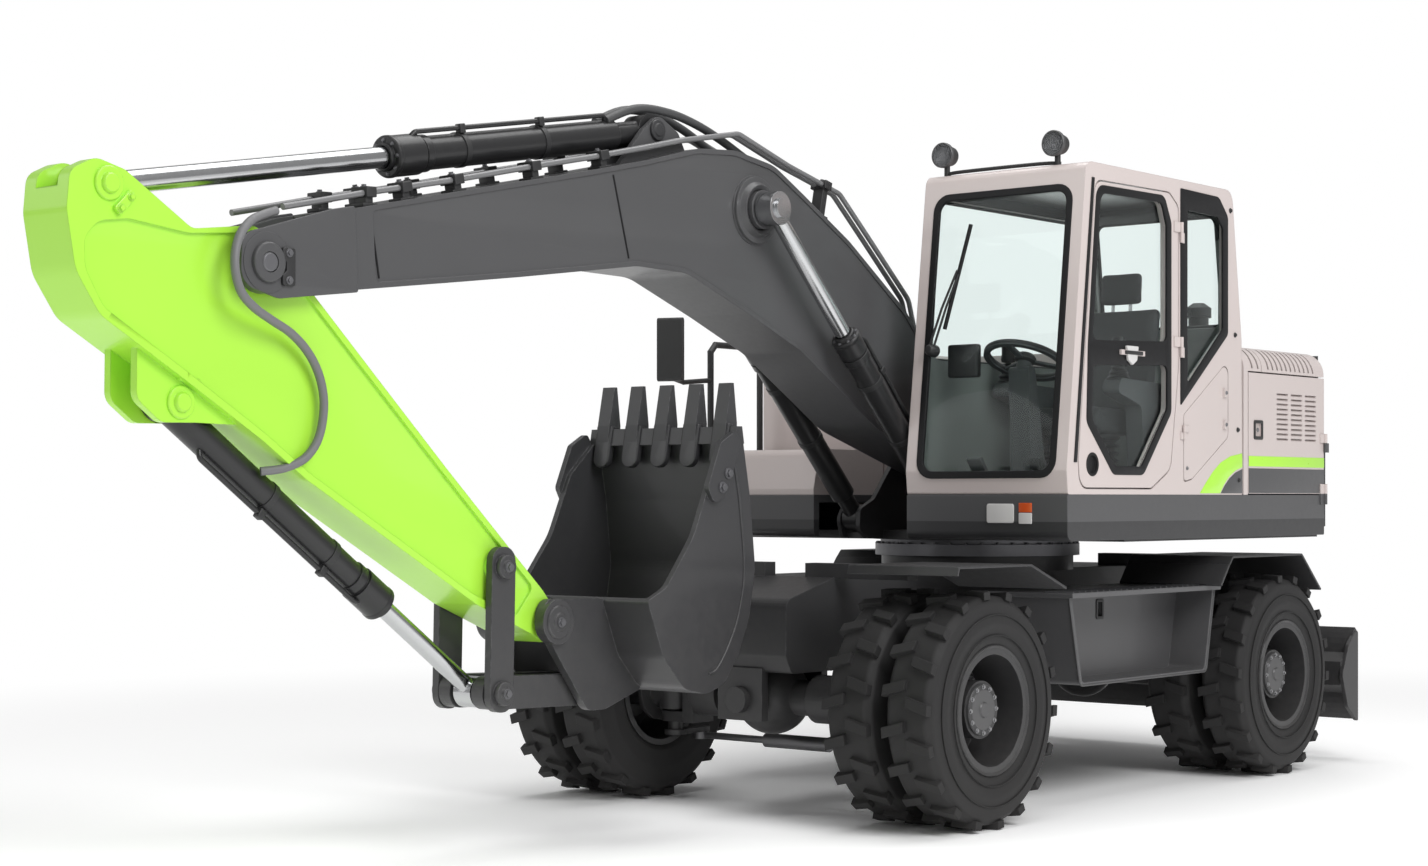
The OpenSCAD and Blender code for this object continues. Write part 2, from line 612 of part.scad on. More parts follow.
// Cab door with two window openings and a latch
module cab_door() {
    b = body_half;
    color("#e6deda") {
        difference() {
            side(rounded(inset(door_line, gap)), b - cab_t + 2, b);
            side(rounded(pane_top), b - 60, b + 1);
            side(rounded(pane_low), b - 60, b + 1);
            ycyl([930, 1610], 52, b - 12, b + 1);
        }
        block(470, 690, b - 30, b + 16, 2128, 2152);
        for (z = [2140, 2700]) upright_hinge(door_hinge, z + 50.3, z + 100, door_hinge.x, 165, 9);
    }
}
module door_glass() {
    b = body_half;
    color("#9fb4b8") {
        side(rounded(inset(pane_top, 0.3)), b - 26, b - 20);
        side(rounded(inset(pane_low, 0.3)), b - 26, b - 20);
    }
}
// Fixed panes of the cab
module cab_glass() {
    b = body_half;
    color("#9fb4b8") {
        screen_cut(6, 0.3, 28);
        side(rounded(inset(quarter, 0.3)), b - 26, b - 20);
        side(rounded(inset(right_pane, 0.3)), cab_y0 + 20, cab_y0 + 26);
        rear_cut(inset(rear_line, 0.3), 18, 6);
    }
}
// Compartment door behind the cab door
module cab_hatch() {
    b = body_half;
    color("#e6deda") {
        side(rounded(inset(hatch, 6)), b - 24, b);
        for (z = [1800, 1960]) block(-372, -340, b - 5, b + 12, z, z + 46);
        upright_hinge(hatch_hinge, 1775.3, 1810, 20, hatch_hinge.x, 8);
    }
}
// Driver's seat on its stand
module seat() {
    color("#2a2a2c") {
        block(120, 520, 640, 960, 1520, 1760);
        translate([60, 0, 0]) side(rounded([[0, 1760.3, 30], [0, 1890, 40], [470, 1900, 50], [500, 1800, 40], [440, 1760.3, 20]]),
            555, 1045);
        side(rounded([[60, 1892, 20], [-60, 2420, 36], [-150, 2420, 32], [-60, 1830, 40], [58, 1830, 10]]), 570, 1030);
        side(rounded([[-60, 2420.3, 10], [-75, 2600, 26], [-145, 2600, 26], [-140, 2420.3, 10]]), 680, 920);
    }
}
// Consoles, steering column with its wheel, and pedals
module controls() {
    color("#232325") {
        for (y = [450, 1070]) {
            side(rounded([[80, 1520, 0], [60, 2010, 40], [520, 2030, 28], [560, 1960, 26], [330, 1900, 40], [300, 1520, 0]]),
                y, y + 90);
            translate([470, y + 45, 2000]) cylinder(r = 15, h = 150);
            translate([470, y + 45, 2140]) cylinder(r = 30, h = 70);
        }
        side(rounded([[690, 1520, 0], [800, 2080, 24], [860, 2080, 20], [840, 1520, 0]]), 745, 855);
        translate([800, 800, 2110]) rotate([0, -24, 0]) {
            difference() {
                translate([0, 0, -13]) cylinder(r = 200, h = 26, $fn = 60);
                translate([0, 0, -20]) cylinder(r = 172, h = 40, $fn = 60);
            }
            for (a = [0:120:240]) rotate([0, 0, a]) translate([0, -16, -6]) cube([180, 32, 12]);
            translate([0, 0, -60]) cylinder(r = 36, h = 75);
        }
        for (y = [600, 940]) side(rounded([[880, 1520, 0], [900, 1520, 0], [1010, 1640, 5], [990, 1650, 5]]), y, y + 80);
    }
}
// Work lamps on the roof
module lamps() {
    color("#2a2a2c") for (y = [430, 1050]) {
        translate([915, y, roof_z]) cylinder(r = 14, h = 75);
        translate([885, y, roof_z + 100]) rotate([0, 90, 0]) cylinder(r1 = 46, r2 = 58, h = 74);
    }
}
boom_line = [[-0.005, -0.0235, 100], [0.03, -0.0215, 60], [0.1843, 0.0018, 600], [0.2492, 0.0283, 300],
    [0.3239, 0.0580, 300], [0.4100, 0.0780, 300], [0.5050, 0.0975, 300], [0.5750, 0.0890, 260], [0.7227, 0.0474, 0],
    [0.9121, -0.0035, 200], [0.9850, -0.0225, 60], [1.0215, -0.0180, 60], [1.0240, 0.0150, 60], [0.9413, 0.0535, 120],
    [0.7923, 0.1080, 0], [0.6490, 0.1600, 300], [0.5750, 0.1880, 350], [0.5050, 0.2170, 350], [0.4500, 0.2290, 300],
    [0.3900, 0.2290, 300], [0.3400, 0.2120, 350], [0.2583, 0.1830, 300], [0.1519, 0.1335, 400], [0.0100, 0.0300, 60],
    [-0.0200, 0.0130, 50]];
// Boom: box section with flanges, tip fork, foot hub and brackets
module boom() {
    color("#58585b") difference() {
        union() {
            side(rounded(on_boom(boom_line)), -boom_half, boom_half);
            ycyl(foot, 118, -193, 193);
            ycyl(tip, 112, -boom_half - 12, boom_half + 12);
            for (s = [-1, 1]) {
                ycyl(cyl_top, 150, s > 0 ? boom_half - 5 : -boom_half - 12, s > 0 ? boom_half + 12 : -boom_half + 5);
                ycyl(cyl_top, 88, s > 0 ? boom_half - 5 : -224, s > 0 ? 224 : -boom_half + 5);
                side(rounded(on_boom([[0.49, 0.200, 0], [0.515, 0.231, 40], [0.545, 0.2405, 55], [0.563, 0.2225, 50],
                    [0.60, 0.170, 0]])), s > 0 ? 60 : -88, s > 0 ? 88 : -60);
            }
            ycyl(acyl_foot, 30, -96, 96);
        }
        side([for (p = [[0.925, -0.10], [1.10, -0.10], [1.10, 0.10], [0.925, 0.10]]) bo(p)], -arm_half - gap, arm_half + gap);
        ycyl(foot, pin_r + 8 + pin_gap, -300, 300);
        ycyl(tip, pin_r + pin_gap, -300, 300);
    }
}
// Hydraulic pipes along the top of the boom, in clamps
top_edge = [[0.1519, 0.1335], [0.2583, 0.1830], [0.34, 0.2120], [0.39, 0.2290], [0.45, 0.2290], [0.505, 0.2170],
    [0.575, 0.1880], [0.649, 0.1600], [0.7923, 0.1080], [0.9413, 0.0535]];
function top_at(s) = lookup(s, top_edge);
module boom_pipes() {
    run = [0.20, 0.2583, 0.34, 0.39, 0.45, 0.505, 0.575, 0.649, 0.7923, 0.93];
    lean = atan2(boom_dir.y, boom_dir.x);
    color("#3a3a3c") {
        for (y = [-146, -106, 106, 146])
            joined_pipe([for (a = run) let (q = bo([a, top_at(a) + 0.0066])) [q.x, y, q.y]], 13);
        for (s = [-1, 1]) for (a = [0.30, 0.70, 0.82, 0.90]) {
            q = bo([a, top_at(a)]);
            turn = lean + atan((top_at(a + 0.01) - top_at(a - 0.01)) / 0.02);
            translate([q.x, s * 126, q.y]) rotate([0, -turn, 0]) translate([-27, -42, 0.4]) cube([55, 84, 50]);
        }
    }
}
// Boom lift cylinders
boom_reach = norm(cyl_top - cyl_foot);
module boom_barrels() {
    color("#3b3b3e") pair() difference() {
        union() {
            ycyl(cyl_foot, 70, cyl_y - eye_half, cyl_y + eye_half);
            bar(cyl_foot, cyl_top, cyl_y, eye_half, 30, 175);
            bar(cyl_foot, cyl_top, cyl_y, 60, 170, 1180);
            bar(cyl_foot, cyl_top, cyl_y, 68, 1110, 1205);
        }
        ycyl(cyl_foot, pin_r + pin_gap, 100, 400);
        bar(cyl_foot, cyl_top, cyl_y, 38 + fit_gap, 250, 1300);
    }
}
module boom_rods() {
    color("#c9cacd") pair() {
        bar(cyl_foot, cyl_top, cyl_y, 38, 650, boom_reach - 40);
        ycyl(cyl_top, 76, cyl_y - eye_half, cyl_y + eye_half);
        ycyl(cyl_top, 44, cyl_y - eye_half, cyl_y + eye_half + 14);
    }
}
arm_line = [[-0.1403, 0.0593, 60], [-0.3030, 0.0880, 70], [-0.3580, 0.1170, 80], [-0.3790, 0.1700, 60],
    [-0.3400, 0.2230, 120], [-0.2600, 0.2860, 140], [-0.1750, 0.3070, 120], [0.0300, 0.2640, 200], [0.2183, 0.2269, 0],
    [0.3433, 0.2098, 300], [0.8272, 0.1007, 200], [0.9800, 0.0470, 70], [1.0400, 0.0300, 60], [1.0420, -0.0300, 60],
    [0.9481, -0.0400, 100], [0.5912, -0.0420, 0], [0.3412, -0.0470, 300], [0.1168, -0.0520, 200], [0.0300, -0.0660, 90],
    [-0.0500, -0.0450, 70]];
// Arm: box section with heel ears and cylinder lugs
module arm() {
    color("#a8f03c") difference() {
        union() {
            side(rounded(on_arm(arm_line)), -arm_half, arm_half);
            for (s = [-1, 1]) side(rounded(on_arm([[-0.10, 0.26, 0], [-0.02, 0.352, 60], [0.0450, 0.3460, 60],
                [0.1000, 0.2950, 60], [0.17, 0.235, 0]])), s > 0 ? 58 : -92, s > 0 ? 92 : -58);
            for (s = [-1, 1]) ycyl(acyl_eye, 34, s > 0 ? arm_half : -arm_half - 12, s > 0 ? arm_half + 12 : -arm_half);
            ycyl(tip, pin_r, -boom_half - 30, boom_half + 30);
        }
        side([for (p = [[-0.46, -0.06], [-0.46, 0.190], [-0.25, 0.190], [-0.15, 0.155], [-0.085, 0.105], [-0.085, -0.06]]) ar(p)],
            -62, 62);
        ycyl(bcyl_foot, 80, -55, 55);
        bar(bcyl_foot, link_pin, 0, 80, 0, 420);
        ycyl(bpin, pin_r + pin_gap, -300, 300);
        ycyl(rock_pin, pin_r - 4 + pin_gap, -300, 300);
    }
    color("#a8f03c") ycyl(bcyl_foot, pin_r - 4, -91, 91);
}
arm_reach = norm(acyl_eye - acyl_foot);
module arm_barrel() {
    color("#3b3b3e") difference() {
        union() {
            ycyl(acyl_foot, 74, -50, 50);
            bar(acyl_foot, acyl_eye, 0, 52, 40, 222);
            bar(acyl_foot, acyl_eye, 0, 68, 215, 1500);
            bar(acyl_foot, acyl_eye, 0, 82, 1385, 1535);
        }
        ycyl(acyl_foot, 30 + pin_gap, -100, 100);
        bar(acyl_foot, acyl_eye, 0, 42 + fit_gap, 250, 1600);
    }
}
module arm_rod() {
    color("#c9cacd") {
        bar(acyl_foot, acyl_eye, 0, 42, 1400, arm_reach - 40);
        ycyl(acyl_eye, 78, -54, 54);
    }
}
buck_reach = norm(link_pin - bcyl_foot);
module bucket_barrel() {
    color("#3b3b3e") difference() {
        union() {
            ycyl(bcyl_foot, 66, -48, 48);
            bar(bcyl_foot, link_pin, 0, 60, 40, 1240);
            bar(bcyl_foot, link_pin, 0, 72, 1130, 1275);
        }
        ycyl(bcyl_foot, pin_r - 4 + pin_gap, -100, 100);
        bar(bcyl_foot, link_pin, 0, 36 + fit_gap, 300, 1400);
    }
}
module bucket_rod() {
    color("#c9cacd") {
        bar(bcyl_foot, link_pin, 0, 36, 950, buck_reach - 40);
        ycyl(link_pin, 64, -48, 48);
    }
}
// Rocker links between the arm and the bucket linkage
module side_links() {
    y0 = arm_half + gap;
    d = unit(link_pin - rock_pin);
    n = [-d.y, d.x];
    color("#3f3f42") {
        pair() {
            side(rounded([for (p = [[-0.16, -0.13], [-0.16, 0.13], [1.15, 0.13], [1.15, -0.13]])
                let (q = rock_pin + 508 * (p.x * d + p.y * n)) [q.x, q.y, 60]], 8), y0, y0 + 34);
            ycyl(rock_pin, 48, y0 + 34, y0 + 50);
            ycyl(link_pin, pin_r, 58, y0 + 50);
            ycyl(link_pin, 48, y0 + 34, y0 + 50);
        }
        ycyl(rock_pin, pin_r - 4, -y0 - 10, y0 + 10);
    }
}
// Link from the rockers to the bucket
module bucket_link() {
    d = unit(buck_pin - link_pin);
    n = [-d.y, d.x];
    k = norm(buck_pin - link_pin);
    color("#3f3f42") difference() {
        union() {
            pair() side(rounded([for (p = [[-70, -68, 62], [-70, 68, 62], [k + 70, 66, 60], [k + 70, -66, 60]])
                let (q = link_pin + p.x * d + p.y * n) [q.x, q.y, p.z]], 8), 62, arm_half);
            side(rounded([for (p = [[k - 230, -45, 20], [k - 230, 45, 20], [k + 60, 60, 50], [k + 60, -60, 50]])
                let (q = link_pin + p.x * d + p.y * n) [q.x, q.y, p.z]]), -70, 70);
        }
        ycyl(link_pin, pin_r + pin_gap, -300, 300);
    }
}
// bucket outline in its place, moved with its pin
function bk(v) = [for (p = v) [p.x - 3400 + bpin.x, p.y - 945 + bpin.y, p.z]];
// Bucket with teeth, side cutters and ears
module bucket() {
    h = bucket_half;
    step = (2 * h - 170) / (tooth_count - 1);
    color("#2e2e30") difference() {
        union() {
            difference() {
                side(rounded(bk([[2520, 1712, 8], [2484, 1712, 8], [2432, 1450, 300], [2398, 1150, 250], [2440, 930, 150],
                    [2515, 775, 150], [2610, 655, 120], [2730, 618, 120], [2880, 650, 120], [3010, 790, 100], [3110, 1028, 20],
                    [2990, 1080, 120], [2815, 1290, 300], [2690, 1560, 80]])), -h, h);
                side(rounded(bk([[2540, 1800, 0], [2509, 1722, 0], [2456, 1446, 300], [2422, 1150, 240], [2463, 938, 130],
                    [2535, 786, 130], [2622, 676, 100], [2730, 642, 100], [2866, 672, 100], [2988, 800, 80], [3080, 1020, 0],
                    [3140, 1160, 0], [3000, 1800, 0]])), -h + 26, h - 26);
            }
            side(rounded(bk([[2474, 1690, 0], [2538, 1690, 0], [2524, 1765, 0], [2488, 1765, 0]])), -h, h);
            for (i = [0:tooth_count - 1]) side(rounded(bk([[2468, 1700, 0], [2546, 1700, 0], [2538, 1780, 0],
                [2502, 1955, 0], [2484, 1955, 0], [2462, 1780, 0]])), -h + 50 + i * step, -h + 120 + i * step);
            for (s = [-1, 1]) {
                side(rounded(bk([[2560, 1745, 20], [2520, 1690, 20], [2620, 1470, 40], [2700, 1420, 40], [2745, 1500, 30],
                    [2660, 1690, 30]])), s > 0 ? h - 4 : -h - 22, s > 0 ? h + 22 : -h + 4);
                side(rounded(bk([[3492, 975, 64], [3440, 1040, 56], [3090, 1032, 20], [2900, 740, 20], [2860, 640, 20],
                    [3090, 566, 70], [3200, 566, 70], [3400, 830, 90]])), s > 0 ? arm_half + 8 : -arm_half - 46,
                    s > 0 ? arm_half + 46 : -arm_half - 8);
            }
            ycyl(bpin, pin_r, -arm_half - 60, arm_half + 60);
            for (s = [-1, 1]) ycyl(bpin, 92, s > 0 ? arm_half + 20 : -arm_half - 70, s > 0 ? arm_half + 70 : -arm_half - 20);
        }
        for (s = [-1, 1]) for (p = bk([[2610, 1560, 0], [2650, 1500, 0]])) ycyl(p, 9, s > 0 ? h + 6 : -h - 40, s > 0 ? h + 40 : -h - 6);
    }
}

chassis_frame();
slew_ring();
front_axle();
rear_axle();
driveline();
fenders();
step_boxes();
knuckle_left();
knuckle_right();
steering_rod();
tyres_front_left();
tyres_front_right();
tyres_rear_left();
tyres_rear_right();
rims_front_left();
rims_front_right();
rims_rear_left();
rims_rear_right();
blade();
blade_barrels();
blade_rods();
upper_frame();
skirts();
counterweight();
hood_frame();
engine_hood();
left_bay_door();
right_bay_door();
engine_block();
right_tank();
right_box();
handrail();
exhaust();
cab_shell();
cab_door();
door_glass();
cab_glass();
cab_hatch();
seat();
controls();
lamps();
boom();
boom_pipes();
boom_barrels();
boom_rods();
arm();
arm_barrel();
arm_rod();
bucket_barrel();
bucket_rod();
side_links();
bucket_link();
bucket();
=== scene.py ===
"""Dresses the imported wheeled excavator: finishes, trim, glass seals, hoses and fasteners."""
import json
import logging
import math
from dataclasses import dataclass, field, replace
from enum import Enum
from typing import Iterable, Optional, Sequence, Union

import bmesh
import bpy
from mathutils import Matrix, Vector

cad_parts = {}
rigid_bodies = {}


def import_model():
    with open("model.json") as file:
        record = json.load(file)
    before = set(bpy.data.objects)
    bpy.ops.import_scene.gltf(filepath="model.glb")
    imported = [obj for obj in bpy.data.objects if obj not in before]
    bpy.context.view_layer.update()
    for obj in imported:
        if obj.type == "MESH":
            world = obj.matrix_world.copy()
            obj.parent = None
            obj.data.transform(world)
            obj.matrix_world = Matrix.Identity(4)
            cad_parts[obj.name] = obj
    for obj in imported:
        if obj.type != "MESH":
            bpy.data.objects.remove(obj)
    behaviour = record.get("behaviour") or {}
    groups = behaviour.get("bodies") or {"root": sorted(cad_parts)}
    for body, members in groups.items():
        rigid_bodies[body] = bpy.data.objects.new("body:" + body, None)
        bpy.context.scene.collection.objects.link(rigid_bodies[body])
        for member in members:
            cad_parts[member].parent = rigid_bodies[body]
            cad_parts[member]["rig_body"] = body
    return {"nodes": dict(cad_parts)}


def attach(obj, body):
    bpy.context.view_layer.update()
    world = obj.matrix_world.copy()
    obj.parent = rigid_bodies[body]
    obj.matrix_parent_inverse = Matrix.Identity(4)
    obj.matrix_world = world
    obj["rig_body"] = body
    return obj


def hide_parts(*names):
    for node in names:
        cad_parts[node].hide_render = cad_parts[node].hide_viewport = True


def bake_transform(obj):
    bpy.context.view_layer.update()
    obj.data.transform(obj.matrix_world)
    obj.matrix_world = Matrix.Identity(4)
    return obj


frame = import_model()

LOG = logging.getLogger("excavator")
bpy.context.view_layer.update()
Colour = tuple[float, float, float]
Point = tuple[float, float, float]
Flat = tuple[float, float]
Line = Sequence[Sequence[float]]
Outline = tuple[Flat, ...]
Corners = tuple[tuple[float, float, float], ...]

UP: Point = (0, 0, 1)
FORWARD: Point = (1, 0, 0)
LEFTWARD: Point = (0, 1, 0)

BOOM_FOOT: Flat = (0.280, 1.660)
BOOM_AIM: Flat = (0.99042, 0.13810)
BOOM_LENGTH = 4.685
ARM_AIM: Flat = (-0.74474, -0.66734)
ARM_LENGTH = 2.041
LIFT_PIN: Flat = (2.0801, 2.7573)
ARM_CYLINDER_PIN: Flat = (2.6642, 3.0601)
HEEL_PIN: Flat = (5.5702, 2.533)
BUCKET_CYLINDER_PIN: Flat = (5.2401, 1.793)
ROCKER_PIN: Flat = (3.6902, 1.1769)
LINK_PIN: Flat = (3.7022, 0.6689)
BODY_HALF = 1.245
CAB_RIGHT = 0.357
SCREEN_LEAN = math.atan2(0.173, 1.428)
STRIPE: Flat = (0.0016, 0.0005)
STRIPE_LIFT = 0.0002


class Side(Enum):
    """Side of the machine, as the sign of its Y."""
    LEFT = 1
    RIGHT = -1

    @property
    def tag(self) -> str:
        """Ending of a piece's name on this side."""
        return self.name.lower()

    @property
    def out(self) -> Point:
        """Direction outwards on this side."""
        return (0, self.value, 0)


def on_boom(along: float, above: float) -> Flat:
    """Point of the side view from boom coordinates.

    Args:
        along: share of the length from the foot pin to the tip pin.
        above: share of that length, square to the line.
    Returns:
        x and z in metres.
    """
    ux, uz = BOOM_AIM
    return (BOOM_FOOT[0] + BOOM_LENGTH * (along * ux - above * uz),
            BOOM_FOOT[1] + BOOM_LENGTH * (along * uz + above * ux))


BOOM_TIP = on_boom(1.0, 0.0)


def on_arm(along: float, beside: float) -> Flat:
    """Point of the side view from arm coordinates.

    Args:
        along: share of the length from the boom pin to the bucket pin.
        beside: share of that length, square to the line.
    Returns:
        x and z in metres.
    """
    ux, uz = ARM_AIM
    return (BOOM_TIP[0] + ARM_LENGTH * (along * ux - beside * uz),
            BOOM_TIP[1] + ARM_LENGTH * (along * uz + beside * ux))


def rounded(points: Line, steps: int = 6) -> list[Flat]:
    """Closed outline with its corners rounded.

    Args:
        points: corners as (u, v, radius).
        steps: pieces in each corner.
    Returns:
        the outline's points.
    """
    out: list[Flat] = []
    count = len(points)
    for i in range(count):
        a, b, c = (Vector(points[(i + k) % count][:2]) for k in (-1, 0, 1))
        radius = points[i][2]
        u, w = (a - b).normalized(), (c - b).normalized()
        angle = u.angle(w)
        if radius <= 0 or angle > 3.12:
            out.append((b.x, b.y))
            continue
        reach = radius / math.tan(angle / 2)
        middle = b + (u + w).normalized() * (radius / math.sin(angle / 2))
        first, last = b + u * reach - middle, b + w * reach - middle
        start = math.atan2(first.y, first.x)
        turn = (math.atan2(last.y, last.x) - start + 3 * math.pi) % (2 * math.pi) - math.pi
        out += [(middle.x + radius * math.cos(start + turn * k / steps),
                 middle.y + radius * math.sin(start + turn * k / steps)) for k in range(steps + 1)]
    return out


def panel(u0: float, v0: float, u1: float, v1: float, radius: float, steps: int = 6) -> list[Flat]:
    """Rectangle with rounded corners.

    Args:
        u0: lower limit of u.
        v0: lower limit of v.
        u1: upper limit of u.
        v1: upper limit of v.
        radius: radius of the corners.
        steps: pieces in each corner.
    Returns:
        the outline's points.
    """
    return rounded([(u0, v0, radius), (u1, v0, radius), (u1, v1, radius), (u0, v1, radius)], steps)


def ring(centre: Flat, radius: float, count: int) -> list[Flat]:
    """Points evenly round a circle.

    Args:
        centre: the circle's centre.
        radius: its radius.
        count: number of points.
    Returns:
        the points.
    """
    turn = 2 * math.pi / count
    return [(centre[0] + radius * math.cos(k * turn), centre[1] + radius * math.sin(k * turn)) for k in range(count)]


def smooth_path(points: Sequence[Point], steps: int = 8) -> list[Vector]:
    """Smooth line through the points.

    Args:
        points: points the line passes.
        steps: pieces between two of them.
    Returns:
        points along the line.
    """
    pts = [Vector(p) for p in points]
    last = len(pts) - 1
    out: list[Vector] = []
    for i in range(last):
        p0, p1, p2, p3 = (pts[min(max(i + k, 0), last)] for k in (-1, 0, 1, 2))
        for k in range(steps):
            t = k / steps
            out.append(0.5 * (2 * p1 + (p2 - p0) * t + (2 * p0 - 5 * p1 + 4 * p2 - p3) * t * t
                              + (3 * p1 - p0 - 3 * p2 + p3) * t ** 3))
    return out + [pts[-1]]


def bent_path(points: Sequence[Point], radius: float, steps: int = 6) -> list[Vector]:
    """Straight runs joined by round bends, as a bent pipe has.

    Args:
        points: ends and corners of the runs.
        radius: radius of the bends.
        steps: pieces in each bend.
    Returns:
        points along the pipe.
    """
    pts = [Vector(p) for p in points]
    out = [pts[0]]
    for a, b, c in zip(pts, pts[1:], pts[2:]):
        u, w = (a - b), (c - b)
        half = (math.pi - u.angle(w)) / 2
        reach = min(radius * math.tan(half), 0.45 * u.length, 0.45 * w.length)
        p, q = b + u.normalized() * reach, b + w.normalized() * reach
        out += [p * (1 - k) ** 2 + b * 2 * k * (1 - k) + q * k * k for k in (i / steps for i in range(steps + 1))]
    return out + [pts[-1]]


# Finishes

def socket(group: bpy.types.NodeTree, name: str, kind: str, way: str, default: object = None) -> None:
    """Adds a named socket to a node group.

    Args:
        group: the node group.
        name: the socket's name.
        kind: the socket's type.
        way: INPUT or OUTPUT.
        default: the value it starts with.
    """
    made = group.interface.new_socket(name=name, in_out=way, socket_type=kind)
    if default is not None:
        made.default_value = default


def surface_group() -> bpy.types.NodeTree:
    """Shader group for paint, plastic and metal: mottling, edge wear, dust and fine grain.

    Returns:
        the group, with Colour, Roughness, Height and Normal outputs.
    """
    found = bpy.data.node_groups.get("Worn surface")
    if found:
        return found
    g = bpy.data.node_groups.new("Worn surface", "ShaderNodeTree")
    for name, value in (("Base", (0.5, 0.5, 0.5, 1)), ("Bare", (0.3, 0.3, 0.3, 1)), ("Dust", (0.35, 0.32, 0.28, 1))):
        socket(g, name, "NodeSocketColor", "INPUT", value)
    for name, value in (("Shine", 0.4), ("Mottle", 0.1), ("Wear", 0.3), ("Dust amount", 0.1), ("Dust height", 0.8),
                        ("Grain scale", 300.0), ("Round", 0.006)):
        socket(g, name, "NodeSocketFloat", "INPUT", value)
    for name, kind in (("Colour", "NodeSocketColor"), ("Roughness", "NodeSocketFloat"), ("Height", "NodeSocketFloat"),
                       ("Normal", "NodeSocketVector")):
        socket(g, name, kind, "OUTPUT")
    add, link = g.nodes.new, g.links.new
    gi, go = add("NodeGroupInput"), add("NodeGroupOutput")
    coord = add("ShaderNodeTexCoord")

    def noise(scale: Optional[float], detail: float) -> bpy.types.Node:
        """Noise on Object coordinates."""
        n = add("ShaderNodeTexNoise")
        n.inputs["Detail"].default_value = detail
        if scale is not None:
            n.inputs["Scale"].default_value = scale
        link(coord.outputs["Object"], n.inputs["Vector"])
        return n

    def math_node(kind: str, a: object, b: object = None, clamp: bool = False) -> bpy.types.NodeSocket:
        """Result of a math step on one or two values or sockets."""
        n = add("ShaderNodeMath")
        n.operation, n.use_clamp = kind, clamp
        for i, v in enumerate((a, b)):
            if isinstance(v, (int, float)):
                n.inputs[i].default_value = v
            elif v is not None:
                link(v, n.inputs[i])
        return n.outputs[0]

    def mix(fac: object, a: object, b: object) -> bpy.types.NodeSocket:
        """Mix of two colours."""
        n = add("ShaderNodeMix")
        n.data_type = "RGBA"
        link(fac, n.inputs["Factor"])
        link(a, n.inputs["A"])
        link(b, n.inputs["B"])
        return n.outputs["Result"]

    cloud, spots, grain = noise(2.3, 5.0), noise(34.0, 6.0), noise(None, 3.0)
    link(gi.outputs["Grain scale"], grain.inputs["Scale"])
    shade = math_node("MULTIPLY", math_node("SUBTRACT", cloud.outputs["Fac"], 0.5), gi.outputs["Mottle"])
    hue = add("ShaderNodeHueSaturation")
    link(gi.outputs["Base"], hue.inputs["Color"])
    link(math_node("ADD", shade, 1.0), hue.inputs["Value"])
    bevel = add("ShaderNodeBevel")
    bevel.samples = 4
    link(gi.outputs["Round"], bevel.inputs["Radius"])
    geo = add("ShaderNodeNewGeometry")
    dot = add("ShaderNodeVectorMath")
    dot.operation = "DOT_PRODUCT"
    link(bevel.outputs["Normal"], dot.inputs[0])
    link(geo.outputs["Normal"], dot.inputs[1])
    edge = math_node("MULTIPLY", math_node("SUBTRACT", 1.0, dot.outputs["Value"]), 5.0, True)
    patches = math_node("MULTIPLY", math_node("SUBTRACT", spots.outputs["Fac"], 0.42), 5.0, True)
    chips = math_node("MULTIPLY", edge, patches)
    worn = math_node("MULTIPLY", chips, gi.outputs["Wear"], True)
    split = add("ShaderNodeSeparateXYZ")
    link(coord.outputs["Object"], split.inputs[0])
    low = math_node("SUBTRACT", 1.0, math_node("DIVIDE", split.outputs["Z"], gi.outputs["Dust height"]), True)
    face = add("ShaderNodeSeparateXYZ")
    link(geo.outputs["Normal"], face.inputs[0])
    up = math_node("MULTIPLY", math_node("MAXIMUM", face.outputs["Z"], 0.0), 0.35)
    thick = math_node("MULTIPLY", spots.outputs["Fac"], gi.outputs["Dust amount"])
    film = math_node("MULTIPLY", math_node("ADD", low, up), thick, True)
    painted = mix(worn, hue.outputs["Color"], gi.outputs["Bare"])
    link(mix(film, painted, gi.outputs["Dust"]), go.inputs["Colour"])
    uneven = math_node("MULTIPLY", math_node("SUBTRACT", spots.outputs["Fac"], 0.5), 0.12)
    rough = math_node("ADD", gi.outputs["Shine"], uneven)
    link(math_node("ADD", rough, math_node("MULTIPLY", film, 0.4), True), go.inputs["Roughness"])
    fine, coarse = (math_node("MULTIPLY", n.outputs["Fac"], share) for n, share in ((grain, 0.6), (spots, 0.4)))
    link(math_node("ADD", fine, coarse), go.inputs["Height"])
    link(bevel.outputs["Normal"], go.inputs["Normal"])
    return g


